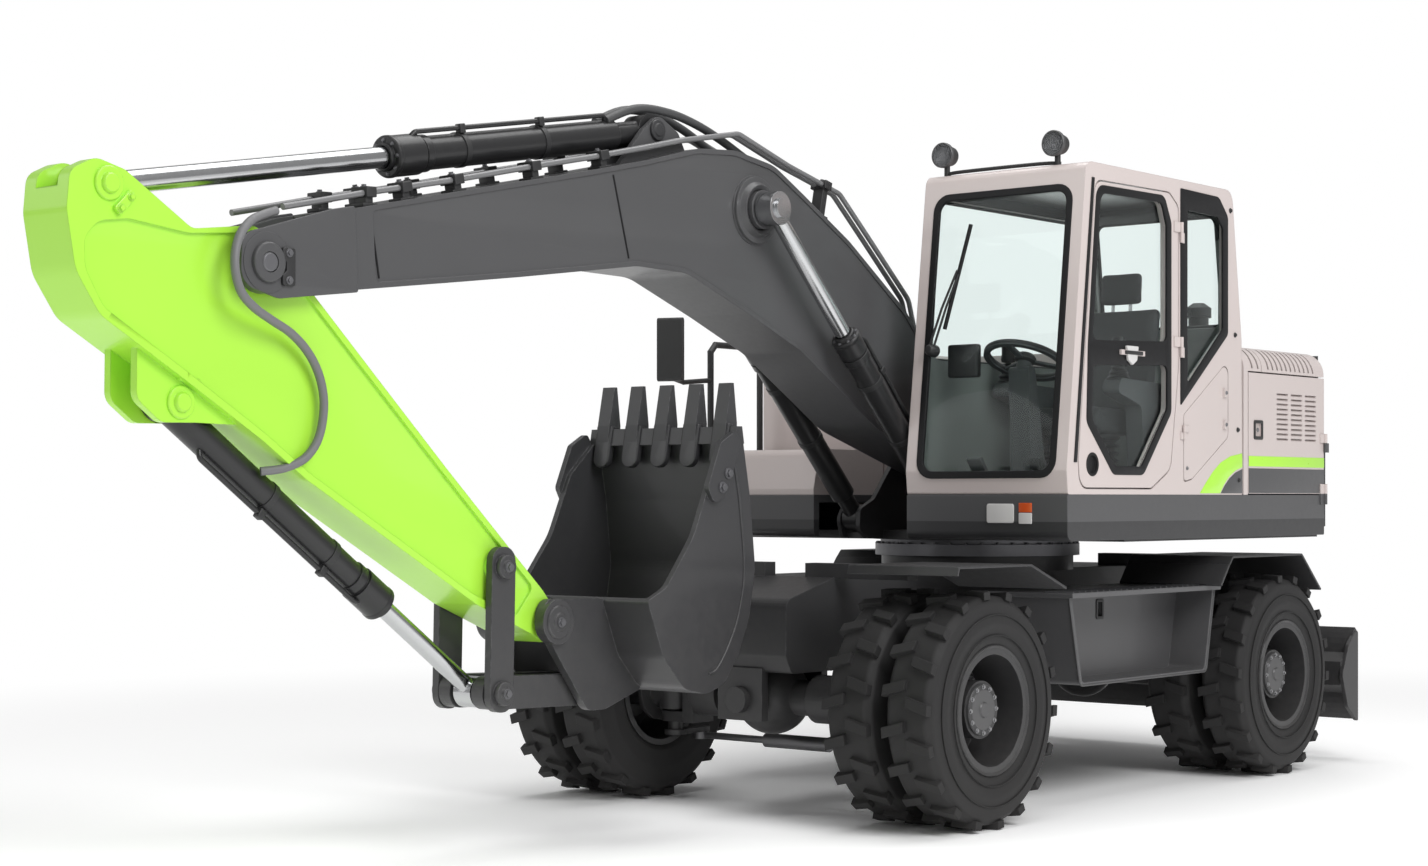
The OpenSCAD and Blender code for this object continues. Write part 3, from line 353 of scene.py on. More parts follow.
@dataclass(frozen=True)
class Zone:
    """Box of object space that takes another colour. Its front moves back by lean for each metre up."""
    low: Point
    high: Point
    colour: Colour
    lean: float = 0.0

    def paint(self, tree: bpy.types.NodeTree, base: bpy.types.NodeSocket) -> bpy.types.NodeSocket:
        """Mixes the zone's colour over a colour.

        Args:
            tree: the material's node tree.
            base: colour socket underneath.
        Returns:
            the mixed colour's socket.
        """
        coord = tree.nodes.new("ShaderNodeTexCoord")
        mask: Optional[bpy.types.NodeSocket] = None
        for kind, corner in (("GREATER_THAN", self.low), ("LESS_THAN", self.high)):
            split = tree.nodes.new("ShaderNodeSeparateXYZ")
            tree.links.new(coord.outputs["Object"], split.inputs[0])
            for axis in range(3):
                test = tree.nodes.new("ShaderNodeMath")
                test.operation = kind
                test.inputs[1].default_value = corner[axis]
                tree.links.new(split.outputs[axis], test.inputs[0])
                if self.lean and axis == 0 and kind == "LESS_THAN":
                    slant = tree.nodes.new("ShaderNodeMath")
                    slant.operation = "MULTIPLY_ADD"
                    slant.inputs[1].default_value = self.lean
                    tree.links.new(split.outputs[2], slant.inputs[0])
                    tree.links.new(split.outputs[0], slant.inputs[2])
                    tree.links.new(slant.outputs[0], test.inputs[0])
                if mask is None:
                    mask = test.outputs[0]
                    continue
                both = tree.nodes.new("ShaderNodeMath")
                both.operation = "MULTIPLY"
                tree.links.new(mask, both.inputs[0])
                tree.links.new(test.outputs[0], both.inputs[1])
                mask = both.outputs[0]
        mixed = tree.nodes.new("ShaderNodeMix")
        mixed.data_type = "RGBA"
        tree.links.new(mask, mixed.inputs["Factor"])
        tree.links.new(base, mixed.inputs["A"])
        mixed.inputs["B"].default_value = (*self.colour, 1)
        return mixed.outputs["Result"]


@dataclass(frozen=True)
class Finish:
    """Surface of one kind of piece."""
    name: str
    colour: Colour
    shine: float = 0.4
    metal: float = 0.0
    coat: float = 0.0
    mottle: float = 0.12
    wear: float = 0.15
    bare: Colour = (0.22, 0.22, 0.23)
    dust: float = 0.15
    dust_height: float = 1.0
    grain: float = 260.0
    bump: float = 0.04
    edge: float = 0.006
    gloss: float = 0.5
    zones: tuple[Zone, ...] = ()

    def material(self) -> bpy.types.Material:
        """Material of this finish, made once.

        Returns:
            the material.
        """
        found = bpy.data.materials.get(self.name)
        if found:
            return found
        mat = bpy.data.materials.new(self.name)
        mat.use_nodes = True
        tree = mat.node_tree
        shader = tree.nodes["Principled BSDF"]
        worn = tree.nodes.new("ShaderNodeGroup")
        worn.node_tree = surface_group()
        for name, value in (("Base", (*self.colour, 1)), ("Bare", (*self.bare, 1)), ("Shine", self.shine),
                            ("Mottle", self.mottle), ("Wear", self.wear), ("Dust amount", self.dust),
                            ("Dust height", self.dust_height), ("Grain scale", self.grain), ("Round", self.edge)):
            worn.inputs[name].default_value = value
        colour = worn.outputs["Colour"]
        for zone in self.zones:
            colour = zone.paint(tree, colour)
        tree.links.new(colour, shader.inputs["Base Color"])
        tree.links.new(worn.outputs["Roughness"], shader.inputs["Roughness"])
        shader.inputs["Metallic"].default_value = self.metal
        shader.inputs["Specular IOR Level"].default_value = self.gloss
        shader.inputs["Coat Weight"].default_value = self.coat
        shader.inputs["Coat Roughness"].default_value = 0.12
        bump = tree.nodes.new("ShaderNodeBump")
        bump.inputs["Strength"].default_value = self.bump
        bump.inputs["Distance"].default_value = 0.004
        tree.links.new(worn.outputs["Height"], bump.inputs["Height"])
        tree.links.new(worn.outputs["Normal"], bump.inputs["Normal"])
        tree.links.new(bump.outputs["Normal"], shader.inputs["Normal"])
        return mat


@dataclass(frozen=True)
class Glass:
    """Clear or tinted pane."""
    name: str
    tint: Colour
    roughness: float = 0.0

    def material(self) -> bpy.types.Material:
        """Glass with faint smears in its gloss.

        Returns:
            the material.
        """
        found = bpy.data.materials.get(self.name)
        if found:
            return found
        mat = bpy.data.materials.new(self.name)
        mat.use_nodes = True
        tree = mat.node_tree
        shader = tree.nodes["Principled BSDF"]
        shader.inputs["Base Color"].default_value = (*self.tint, 1)
        shader.inputs["Transmission Weight"].default_value = 1.0
        shader.inputs["IOR"].default_value = 1.2
        coord = tree.nodes.new("ShaderNodeTexCoord")
        smear = tree.nodes.new("ShaderNodeTexNoise")
        smear.inputs["Scale"].default_value = 6.0
        smear.inputs["Detail"].default_value = 6.0
        tree.links.new(coord.outputs["Object"], smear.inputs["Vector"])
        level = tree.nodes.new("ShaderNodeMapRange")
        level.inputs["From Min"].default_value = 0.45
        level.inputs["From Max"].default_value = 0.8
        level.inputs["To Min"].default_value = self.roughness
        level.inputs["To Max"].default_value = self.roughness + 0.05
        tree.links.new(smear.outputs["Fac"], level.inputs["Value"])
        tree.links.new(level.outputs["Result"], shader.inputs["Roughness"])
        return mat


Surface = Union[Finish, Glass]
LINING = Zone((-0.520, 0.396, 1.515), (1.326, 1.207, 2.960), (0.190, 0.206, 0.200), 0.1211)
CEILING = Zone((-0.520, 0.396, 2.760), (1.326, 1.207, 2.960), (0.030, 0.032, 0.033), 0.1211)
SKIRT_FOOT = Zone((-4.0, -2.0, 0.0), (4.0, 2.0, 1.345), (0.034, 0.034, 0.036))
TAIL_GREY = Zone((-3.0, -2.0, 0.0), (-1.495, 2.0, 4.0), (0.072, 0.072, 0.075))


class Palette:
    """Finishes of the machine."""
    white = Finish("cab_white_paint", (0.590, 0.520, 0.503), 0.32, coat=0.4, mottle=0.05, wear=0.05, dust=0.05,
                   bump=0.015)
    cab = replace(white, name="cab_shell_paint", zones=(LINING, CEILING))
    hood = replace(white, name="hood_frame_paint", zones=(TAIL_GREY,))
    grey = Finish("body_grey_paint", (0.072, 0.072, 0.075), 0.40, coat=0.15, mottle=0.12, wear=0.12, dust=0.06,
                  bump=0.03, gloss=0.4)
    green = Finish("arm_green_paint", (0.420, 0.830, 0.058), 0.34, coat=0.4, mottle=0.06, wear=0.10, dust=0.08,
                   bump=0.02)
    skirt = Finish("skirt_grey_paint", (0.076, 0.076, 0.079), 0.40, coat=0.15, mottle=0.12, wear=0.12, dust=0.04,
                   bump=0.03, gloss=0.4, zones=(SKIRT_FOOT,))
    box = Finish("step_box_paint", (0.080, 0.080, 0.084), 0.42, coat=0.1, mottle=0.2, wear=0.25, dust=0.10,
                 dust_height=1.4, bump=0.05)
    hub = Finish("hub_grey_paint", (0.085, 0.085, 0.088), 0.40, metal=0.3, mottle=0.25, wear=0.3, dust=0.10, bump=0.05,
                 edge=0.003)
    dark = Finish("chassis_dark_paint", (0.030, 0.030, 0.032), 0.45, coat=0.1, mottle=0.25, wear=0.25, dust=0.08,
                  dust_height=1.4, bump=0.06, gloss=0.4)
    bucket = Finish("bucket_dark_paint", (0.036, 0.036, 0.039), 0.42, coat=0.15, mottle=0.3, wear=0.5, dust=0.10,
                    dust_height=1.6, bump=0.08)
    barrel = Finish("cylinder_black_paint", (0.017, 0.017, 0.018), 0.36, coat=0.15, mottle=0.2, wear=0.2, dust=0.06,
                    gloss=0.4)
    chrome = Finish("chrome_plating", (0.50, 0.505, 0.515), 0.18, metal=1.0, mottle=0.05, wear=0.0, dust=0.03,
                    grain=900.0, bump=0.01, edge=0.002)
    steel = Finish("worn_bare_steel", (0.17, 0.17, 0.18), 0.42, metal=0.8, mottle=0.3, wear=0.3, dust=0.2, bump=0.05,
                   edge=0.003)
    zinc = Finish("plated_bolts", (0.30, 0.30, 0.31), 0.38, metal=0.9, mottle=0.2, wear=0.2, dust=0.1, edge=0.001)
    tyre = Finish("tyre_black_rubber", (0.024, 0.0235, 0.024), 0.62, mottle=0.25, wear=0.25, bare=(0.03, 0.03, 0.03),
                  dust=0.03, dust_height=0.7, grain=140.0, bump=0.12, edge=0.008, gloss=0.25)
    rubber = Finish("seal_rubber", (0.008, 0.008, 0.009), 0.5, mottle=0.15, wear=0.0, dust=0.03, grain=500.0,
                    edge=0.003, gloss=0.3)
    plastic = Finish("trim_black_plastic", (0.020, 0.020, 0.021), 0.48, mottle=0.1, wear=0.05, dust=0.08, grain=700.0,
                     bump=0.1, edge=0.004)
    console = Finish("console_plastic", (0.050, 0.054, 0.056), 0.55, mottle=0.1, wear=0.0, dust=0.05, grain=800.0,
                     bump=0.12)
    fabric = Finish("seat_grey_fabric", (0.035, 0.037, 0.040), 0.85, mottle=0.3, wear=0.0, dust=0.1, grain=1400.0,
                    bump=0.35)
    lime = Finish("lime_stripe", (0.420, 0.830, 0.058), 0.3, coat=0.4, mottle=0.05, wear=0.05, dust=0.04, bump=0.01,
                  edge=0.0005)
    band = Finish("grey_stripe", (0.076, 0.076, 0.079), 0.38, coat=0.15, mottle=0.08, wear=0.05, dust=0.04, bump=0.01,
                  edge=0.0005)
    hose = Finish("hose_rubber", (0.055, 0.056, 0.058), 0.5, mottle=0.15, wear=0.0, dust=0.1, grain=600.0, bump=0.1,
                  edge=0.001)
    hose_pale = replace(hose, name="hose_grey_sleeve", colour=(0.165, 0.165, 0.170))
    pipe = Finish("pipe_grey_paint", (0.20, 0.20, 0.205), 0.35, metal=0.3, mottle=0.12, wear=0.1, dust=0.08, edge=0.001)
    orange = Finish("reflector_orange", (0.62, 0.085, 0.015), 0.25, coat=0.6, mottle=0.1, wear=0.0, dust=0.05,
                    edge=0.001)
    red = Finish("reflector_red", (0.42, 0.010, 0.010), 0.22, coat=0.6, mottle=0.1, wear=0.0, dust=0.05, edge=0.001)
    pale = Finish("plate_pale", (0.62, 0.61, 0.60), 0.35, mottle=0.08, wear=0.1, dust=0.05, edge=0.001)
    glass = Glass("cab_glass_clear", (0.90, 0.95, 0.94))
    lens = Glass("lamp_lens", (0.95, 0.96, 0.97), 0.02)

    by_node: dict[str, Surface] = {
        "chassis_frame": dark, "slew_ring": steel, "front_axle": dark, "rear_axle": dark, "driveline": dark,
        "fenders": dark, "step_boxes": box, "knuckle_left": dark, "knuckle_right": dark, "steering_rod": steel,
        "blade": dark, "blade_barrels": barrel, "blade_rods": chrome, "upper_frame": dark, "skirts": skirt,
        "counterweight": grey, "hood_frame": hood, "engine_hood": white, "left_bay_door": white,
        "right_bay_door": white, "engine_block": steel, "right_tank": white, "right_box": white, "handrail": plastic,
        "exhaust": plastic, "cab_shell": cab, "cab_door": white, "door_glass": glass, "cab_glass": glass,
        "cab_hatch": white, "seat": fabric, "controls": console, "lamps": plastic, "boom": grey, "boom_pipes": barrel,
        "boom_barrels": barrel, "boom_rods": chrome, "arm": green, "arm_barrel": barrel, "arm_rod": chrome,
        "bucket_barrel": barrel, "bucket_rod": chrome, "side_links": bucket, "bucket_link": bucket, "bucket": bucket}

    def dress(self) -> None:
        """Gives every CAD node its finish."""
        for name, node in frame["nodes"].items():
            if name.startswith("tyres"):
                finish: Surface = self.tyre
            elif name.startswith("rims"):
                finish = self.dark
            else:
                finish = self.by_node[name]
            node.data.materials.clear()
            node.data.materials.append(finish.material())
            LOG.info("finish %s", name)


# Making meshes

def keep(name: str, mesh: bpy.types.Mesh, body: str, finish: Surface) -> bpy.types.Object:
    """Turns a mesh into a piece that rides a body.

    Args:
        name: the piece's name.
        mesh: its mesh, in place.
        body: the CAD body it moves with.
        finish: its finish.
    Returns:
        the piece.
    """
    obj = bpy.data.objects.new(name, mesh)
    bpy.context.scene.collection.objects.link(obj)
    mesh.materials.clear()
    mesh.materials.append(finish.material())
    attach(obj, body)
    LOG.info("piece %s on %s", name, body)
    return obj


def from_bmesh(name: str, bm: bmesh.types.BMesh, sharp: float = 35.0) -> bpy.types.Mesh:
    """Writes a bmesh with outward faces and sharp edges kept.

    Args:
        name: the mesh's name.
        bm: the bmesh, freed here.
        sharp: angle past which an edge stays sharp, in degrees.
    Returns:
        the mesh.
    """
    bmesh.ops.remove_doubles(bm, verts=bm.verts, dist=1e-5)
    bmesh.ops.recalc_face_normals(bm, faces=bm.faces)
    for e in bm.edges:
        e.smooth = not (e.is_manifold and e.calc_face_angle(0.0) > math.radians(sharp))
    for f in bm.faces:
        f.smooth = True
    mesh = bpy.data.meshes.new(name)
    bm.to_mesh(mesh)
    bm.free()
    return mesh


def evaluated(obj: bpy.types.Object) -> bpy.types.Mesh:
    """Plain mesh of an object with its curve or modifiers worked out.

    Args:
        obj: the object.
    Returns:
        the mesh.
    """
    bpy.context.view_layer.update()
    return bpy.data.meshes.new_from_object(obj.evaluated_get(bpy.context.evaluated_depsgraph_get()))


def plate_mesh(name: str, outlines: Sequence[Line], thick: float, bevel: float, place: Matrix) -> bpy.types.Mesh:
    """Flat plate with holes and rounded rims.

    Args:
        name: the mesh's name.
        outlines: the outer outline, then its holes, in the plate's own plane.
        thick: thickness, from the plane outwards.
        bevel: radius of the rims.
        place: matrix from the plate's plane to the object.
    Returns:
        the mesh.
    """
    curve = bpy.data.curves.new(name, "CURVE")
    curve.dimensions, curve.fill_mode = "2D", "BOTH"
    curve.extrude = thick / 2 - bevel
    curve.bevel_depth, curve.bevel_resolution = bevel, 2
    curve.offset = -bevel
    for outline in outlines:
        line = curve.splines.new("POLY")
        line.points.add(len(outline) - 1)
        for p, (u, v) in zip(line.points, outline):
            p.co = (u, v, 0, 1)
        line.use_cyclic_u = True
    obj = bpy.data.objects.new(name, curve)
    bpy.context.scene.collection.objects.link(obj)
    mesh = evaluated(obj)
    bpy.data.objects.remove(obj)
    bpy.data.curves.remove(curve)
    mesh.transform(place @ Matrix.Translation((0, 0, thick / 2)))
    bm = bmesh.new()
    bm.from_mesh(mesh)
    bpy.data.meshes.remove(mesh)
    return from_bmesh(name, bm)


def side_plane(y: float, side: Side = Side.LEFT) -> Matrix:
    """Plane square to Y with u along X and v along Z, facing outwards.

    Args:
        y: distance from the middle of the machine.
        side: which side it faces.
    Returns:
        the matrix.
    """
    s = side.value
    return Matrix(((1, 0, 0, 0), (0, 0, s, s * y), (0, 1, 0, 0), (0, 0, 0, 1)))


def front_plane(x: float) -> Matrix:
    """Plane square to X at a place, with u along Y and v along Z, facing forward."""
    return Matrix(((0, 0, 1, x), (1, 0, 0, 0), (0, 1, 0, 0), (0, 0, 0, 1)))


def top_plane(z: float) -> Matrix:
    """Level plane at a height, with u along X and v along Y."""
    return Matrix.Translation((0, 0, z))


SCREEN = Matrix(((0, -math.sin(SCREEN_LEAN), math.cos(SCREEN_LEAN), 1.158), (1, 0, 0, 0),
                 (0, math.cos(SCREEN_LEAN), math.sin(SCREEN_LEAN), 1.540), (0, 0, 0, 1)))


def lathe_mesh(name: str, profile: Line, centre: Point, aim: Point, turns: int = 48) -> bpy.types.Mesh:
    """Round piece spun from a profile.

    Args:
        name: the mesh's name.
        profile: points as (radius, distance along the axis).
        centre: point of the axis at distance 0.
        aim: direction of the axis.
        turns: pieces round it.
    Returns:
        the mesh.
    """
    bm = bmesh.new()
    rot = Vector(UP).rotation_difference(Vector(aim)).to_matrix().to_4x4()
    place = Matrix.Translation(centre) @ rot
    rings = []
    for r, h in profile:
        if r < 1e-6:
            rings.append([bm.verts.new(place @ Vector((0, 0, h)))])
            continue
        rings.append([bm.verts.new(place @ Vector((u, v, h))) for u, v in ring((0, 0), r, turns)])
    for a, b in zip(rings, rings[1:]):
        for k in range(turns):
            quad = [a[k % len(a)], a[(k + 1) % len(a)], b[(k + 1) % len(b)], b[k % len(b)]]
            face = list(dict.fromkeys(quad))
            if len(face) > 2:
                bm.faces.new(face)
    return from_bmesh(name, bm)


def plate(name: str, outlines: Sequence[Line], thick: float, bevel: float, place: Matrix, body: str, finish: Finish,
          slot: Optional[str] = None) -> bpy.types.Object:
    """Flat plate as a piece that rides a body.

    Args:
        name: the piece's name.
        outlines: the outer outline, then its holes, in the plate's own plane.
        thick: thickness, from the plane outwards.
        bevel: radius of the rims.
        place: matrix from the plate's plane to the object.
        body: the body it rides.
        finish: its finish.
        slot: not used.
    Returns:
        the piece.
    """
    return keep(name, plate_mesh(name, outlines, thick, bevel, place), body, finish)


def turned(name: str, profile: Line, centre: Point, aim: Point, body: str, finish: Surface,
           turns: int = 48) -> bpy.types.Object:
    """Round piece that rides a body.

    Args:
        name: the piece's name.
        profile: points as (radius, distance along the axis).
        centre: point of the axis at distance 0.
        aim: direction of the axis.
        body: the body it rides.
        finish: its finish.
        turns: pieces round it.
    Returns:
        the piece.
    """
    return keep(name, lathe_mesh(name, profile, centre, aim, turns), body, finish)


def merged(name: str, meshes: Iterable[bpy.types.Mesh]) -> bpy.types.Mesh:
    """Joins meshes into one.

    Args:
        name: the mesh's name.
        meshes: the meshes, removed here.
    Returns:
        the joined mesh.
    """
    bm = bmesh.new()
    for m in list(meshes):
        bm.from_mesh(m)
        bpy.data.meshes.remove(m)
    mesh = bpy.data.meshes.new(name)
    bm.to_mesh(mesh)
    bm.free()
    return mesh


# Geometry node trees

def strand_tree() -> bpy.types.NodeTree:
    """Tree that sweeps a round section along the mesh's edges.

    Returns:
        the tree, with Radius, Sides and Finish inputs.
    """
    found = bpy.data.node_groups.get("Round strand")
    if found:
        return found
    g = bpy.data.node_groups.new("Round strand", "GeometryNodeTree")
    socket(g, "Geometry", "NodeSocketGeometry", "INPUT")
    socket(g, "Radius", "NodeSocketFloat", "INPUT", 0.01)
    socket(g, "Sides", "NodeSocketInt", "INPUT", 12)
    socket(g, "Finish", "NodeSocketMaterial", "INPUT")
    socket(g, "Geometry", "NodeSocketGeometry", "OUTPUT")
    add, link = g.nodes.new, g.links.new
    gi, go = add("NodeGroupInput"), add("NodeGroupOutput")
    curve, section, sweep, real, paint = (add("GeometryNode" + kind) for kind in (
        "MeshToCurve", "CurvePrimitiveCircle", "CurveToMesh", "RealizeInstances", "SetMaterial"))
    link(gi.outputs["Geometry"], curve.inputs["Mesh"])
    link(gi.outputs["Sides"], section.inputs["Resolution"])
    link(gi.outputs["Radius"], section.inputs["Radius"])
    link(curve.outputs["Curve"], sweep.inputs["Curve"])
    link(section.outputs["Curve"], sweep.inputs["Profile Curve"])
    sweep.inputs["Fill Caps"].default_value = True
    link(sweep.outputs["Mesh"], real.inputs["Geometry"])
    link(real.outputs["Geometry"], paint.inputs["Geometry"])
    link(gi.outputs["Finish"], paint.inputs["Material"])
    link(paint.outputs["Geometry"], go.inputs["Geometry"])
    return g


def bolt_tree() -> bpy.types.NodeTree:
    """Tree that sets a hexagon head on a washer at every point, turned to the point's aim.

    Returns:
        the tree, with Head, Height and Finish inputs.
    """
    found = bpy.data.node_groups.get("Bolt heads")
    if found:
        return found
    g = bpy.data.node_groups.new("Bolt heads", "GeometryNodeTree")
    socket(g, "Geometry", "NodeSocketGeometry", "INPUT")
    socket(g, "Head", "NodeSocketFloat", "INPUT", 0.012)
    socket(g, "Height", "NodeSocketFloat", "INPUT", 0.010)
    socket(g, "Finish", "NodeSocketMaterial", "INPUT")
    socket(g, "Geometry", "NodeSocketGeometry", "OUTPUT")
    add, link = g.nodes.new, g.links.new
    gi, go = add("NodeGroupInput"), add("NodeGroupOutput")

    def times(sock: bpy.types.NodeSocket, k: float) -> bpy.types.NodeSocket:
        """A socket's value times a number."""
        n = add("ShaderNodeMath")
        n.operation = "MULTIPLY"
        link(sock, n.inputs[0])
        n.inputs[1].default_value = k
        return n.outputs[0]

    def drum(sides: int, radius: bpy.types.NodeSocket, depth: bpy.types.NodeSocket,
             lift: bpy.types.NodeSocket) -> bpy.types.NodeSocket:
        """Short column that is lifted off the face."""
        c, move, vec = add("GeometryNodeMeshCylinder"), add("GeometryNodeTransform"), add("ShaderNodeCombineXYZ")
        c.inputs["Vertices"].default_value = sides
        link(radius, c.inputs["Radius"])
        link(depth, c.inputs["Depth"])
        link(lift, vec.inputs["Z"])
        link(c.outputs["Mesh"], move.inputs["Geometry"])
        link(vec.outputs["Vector"], move.inputs["Translation"])
        return move.outputs["Geometry"]

    width, height = gi.outputs["Head"], gi.outputs["Height"]
    head = drum(6, width, height, times(height, 0.62))
    washer = drum(14, times(width, 1.45), times(height, 0.36), times(height, 0.1))
    join, aim, spread, real, paint = (add("GeometryNode" + kind) for kind in (
        "JoinGeometry", "InputNamedAttribute", "InstanceOnPoints", "RealizeInstances", "SetMaterial"))
    turn = add("FunctionNodeAlignRotationToVector")
    link(head, join.inputs["Geometry"])
    link(washer, join.inputs["Geometry"])
    aim.data_type = "FLOAT_VECTOR"
    aim.inputs["Name"].default_value = "aim"
    turn.axis = "Z"
    link(aim.outputs["Attribute"], turn.inputs["Vector"])
    link(gi.outputs["Geometry"], spread.inputs["Points"])
    link(join.outputs["Geometry"], spread.inputs["Instance"])
    link(turn.outputs["Rotation"], spread.inputs["Rotation"])
    link(spread.outputs["Instances"], real.inputs["Geometry"])
    link(real.outputs["Geometry"], paint.inputs["Geometry"])
    link(gi.outputs["Finish"], paint.inputs["Material"])
    link(paint.outputs["Geometry"], go.inputs["Geometry"])
    return g


def grow(name: str, seed_mesh: bpy.types.Mesh, tree: bpy.types.NodeTree, values: dict[str, object]) -> bpy.types.Mesh:
    """Runs a geometry tree on a mesh and keeps the result as a plain mesh.

    Args:
        name: the mesh's name.
        seed_mesh: points or edges that the tree starts from, removed here.
        tree: the geometry tree.
        values: the tree's inputs by name.
    Returns:
        the plain mesh.
    """
    obj = bpy.data.objects.new(name, seed_mesh)
    bpy.context.scene.collection.objects.link(obj)
    mod = obj.modifiers.new(tree.name, "NODES")
    mod.node_group = tree
    ids = {s.name: s.identifier for s in tree.interface.items_tree if s.in_out == "INPUT"}
    for key, value in values.items():
        mod[ids[key]] = value
    mesh = evaluated(obj)
    obj.modifiers.clear()
    bpy.data.objects.remove(obj)
    bpy.data.meshes.remove(seed_mesh)
    return mesh


def strand(name: str, lines: Sequence[Line], radius: float, body: str, finish: Finish, closed: bool = False,
           sides: int = 12) -> bpy.types.Object:
    """Round strands along lines, as seals, welds, hoses or wires.

    Args:
        name: the piece's name.
        lines: points of each strand.
        radius: radius of the section.
        body: the body it rides.
        finish: its finish.
        closed: joins each line's ends.
        sides: sides of the section.
    Returns:
        the piece.
    """
    seed = bpy.data.meshes.new(name + "_seed")
    verts: list[Vector] = []
    edges: list[tuple[int, int]] = []
    for line in lines:
        base = len(verts)
        verts += [Vector(p) for p in line]
        edges += [(base + k, base + k + 1) for k in range(len(line) - 1)]
        if closed:
            edges.append((base + len(line) - 1, base))
    seed.from_pydata([tuple(v) for v in verts], edges, [])
    mesh = grow(name, seed, strand_tree(), {"Radius": radius, "Sides": sides, "Finish": finish.material()})
    mesh.shade_smooth()
    return keep(name, mesh, body, finish)


def bolts(name: str, places: Sequence[tuple[Point, Point]], head: float, body: str, finish: Finish) -> bpy.types.Object:
    """Bolt heads at places, each along its aim.

    Args:
        name: the piece's name.
        places: pairs of point and direction.
        head: radius of the hexagon.
        body: the body they ride.
        finish: their finish.
    Returns:
        the piece.
    """
    seed = bpy.data.meshes.new(name + "_seed")
    seed.from_pydata([p for p, _ in places], [], [])
    aims = seed.attributes.new("aim", "FLOAT_VECTOR", "POINT")
    for item, (_, a) in zip(aims.data, places):
        item.vector = a
    mesh = grow(name, seed, bolt_tree(), {"Head": head, "Height": head * 0.9, "Finish": finish.material()})
    return keep(name, mesh, body, finish)


def rounded_box(name: str, low: Point, high: Point, bevel: float) -> bpy.types.Mesh:
    """Box with rounded edges.

    Args:
        name: the mesh's name.
        low: lowest corner.
        high: highest corner.
        bevel: radius of the edges.
    Returns:
        the mesh.
    """
    bm = bmesh.new()
    bmesh.ops.create_cube(bm, size=1.0)
    for v in bm.verts:
        v.co = Vector([(l + h) / 2 + c * (h - l) for l, h, c in zip(low, high, v.co)])
    bmesh.ops.bevel(bm, geom=list(bm.edges), offset=bevel, segments=3, affect="EDGES", profile=0.5)
    return from_bmesh(name, bm, sharp=60.0)


# Sub-assemblies

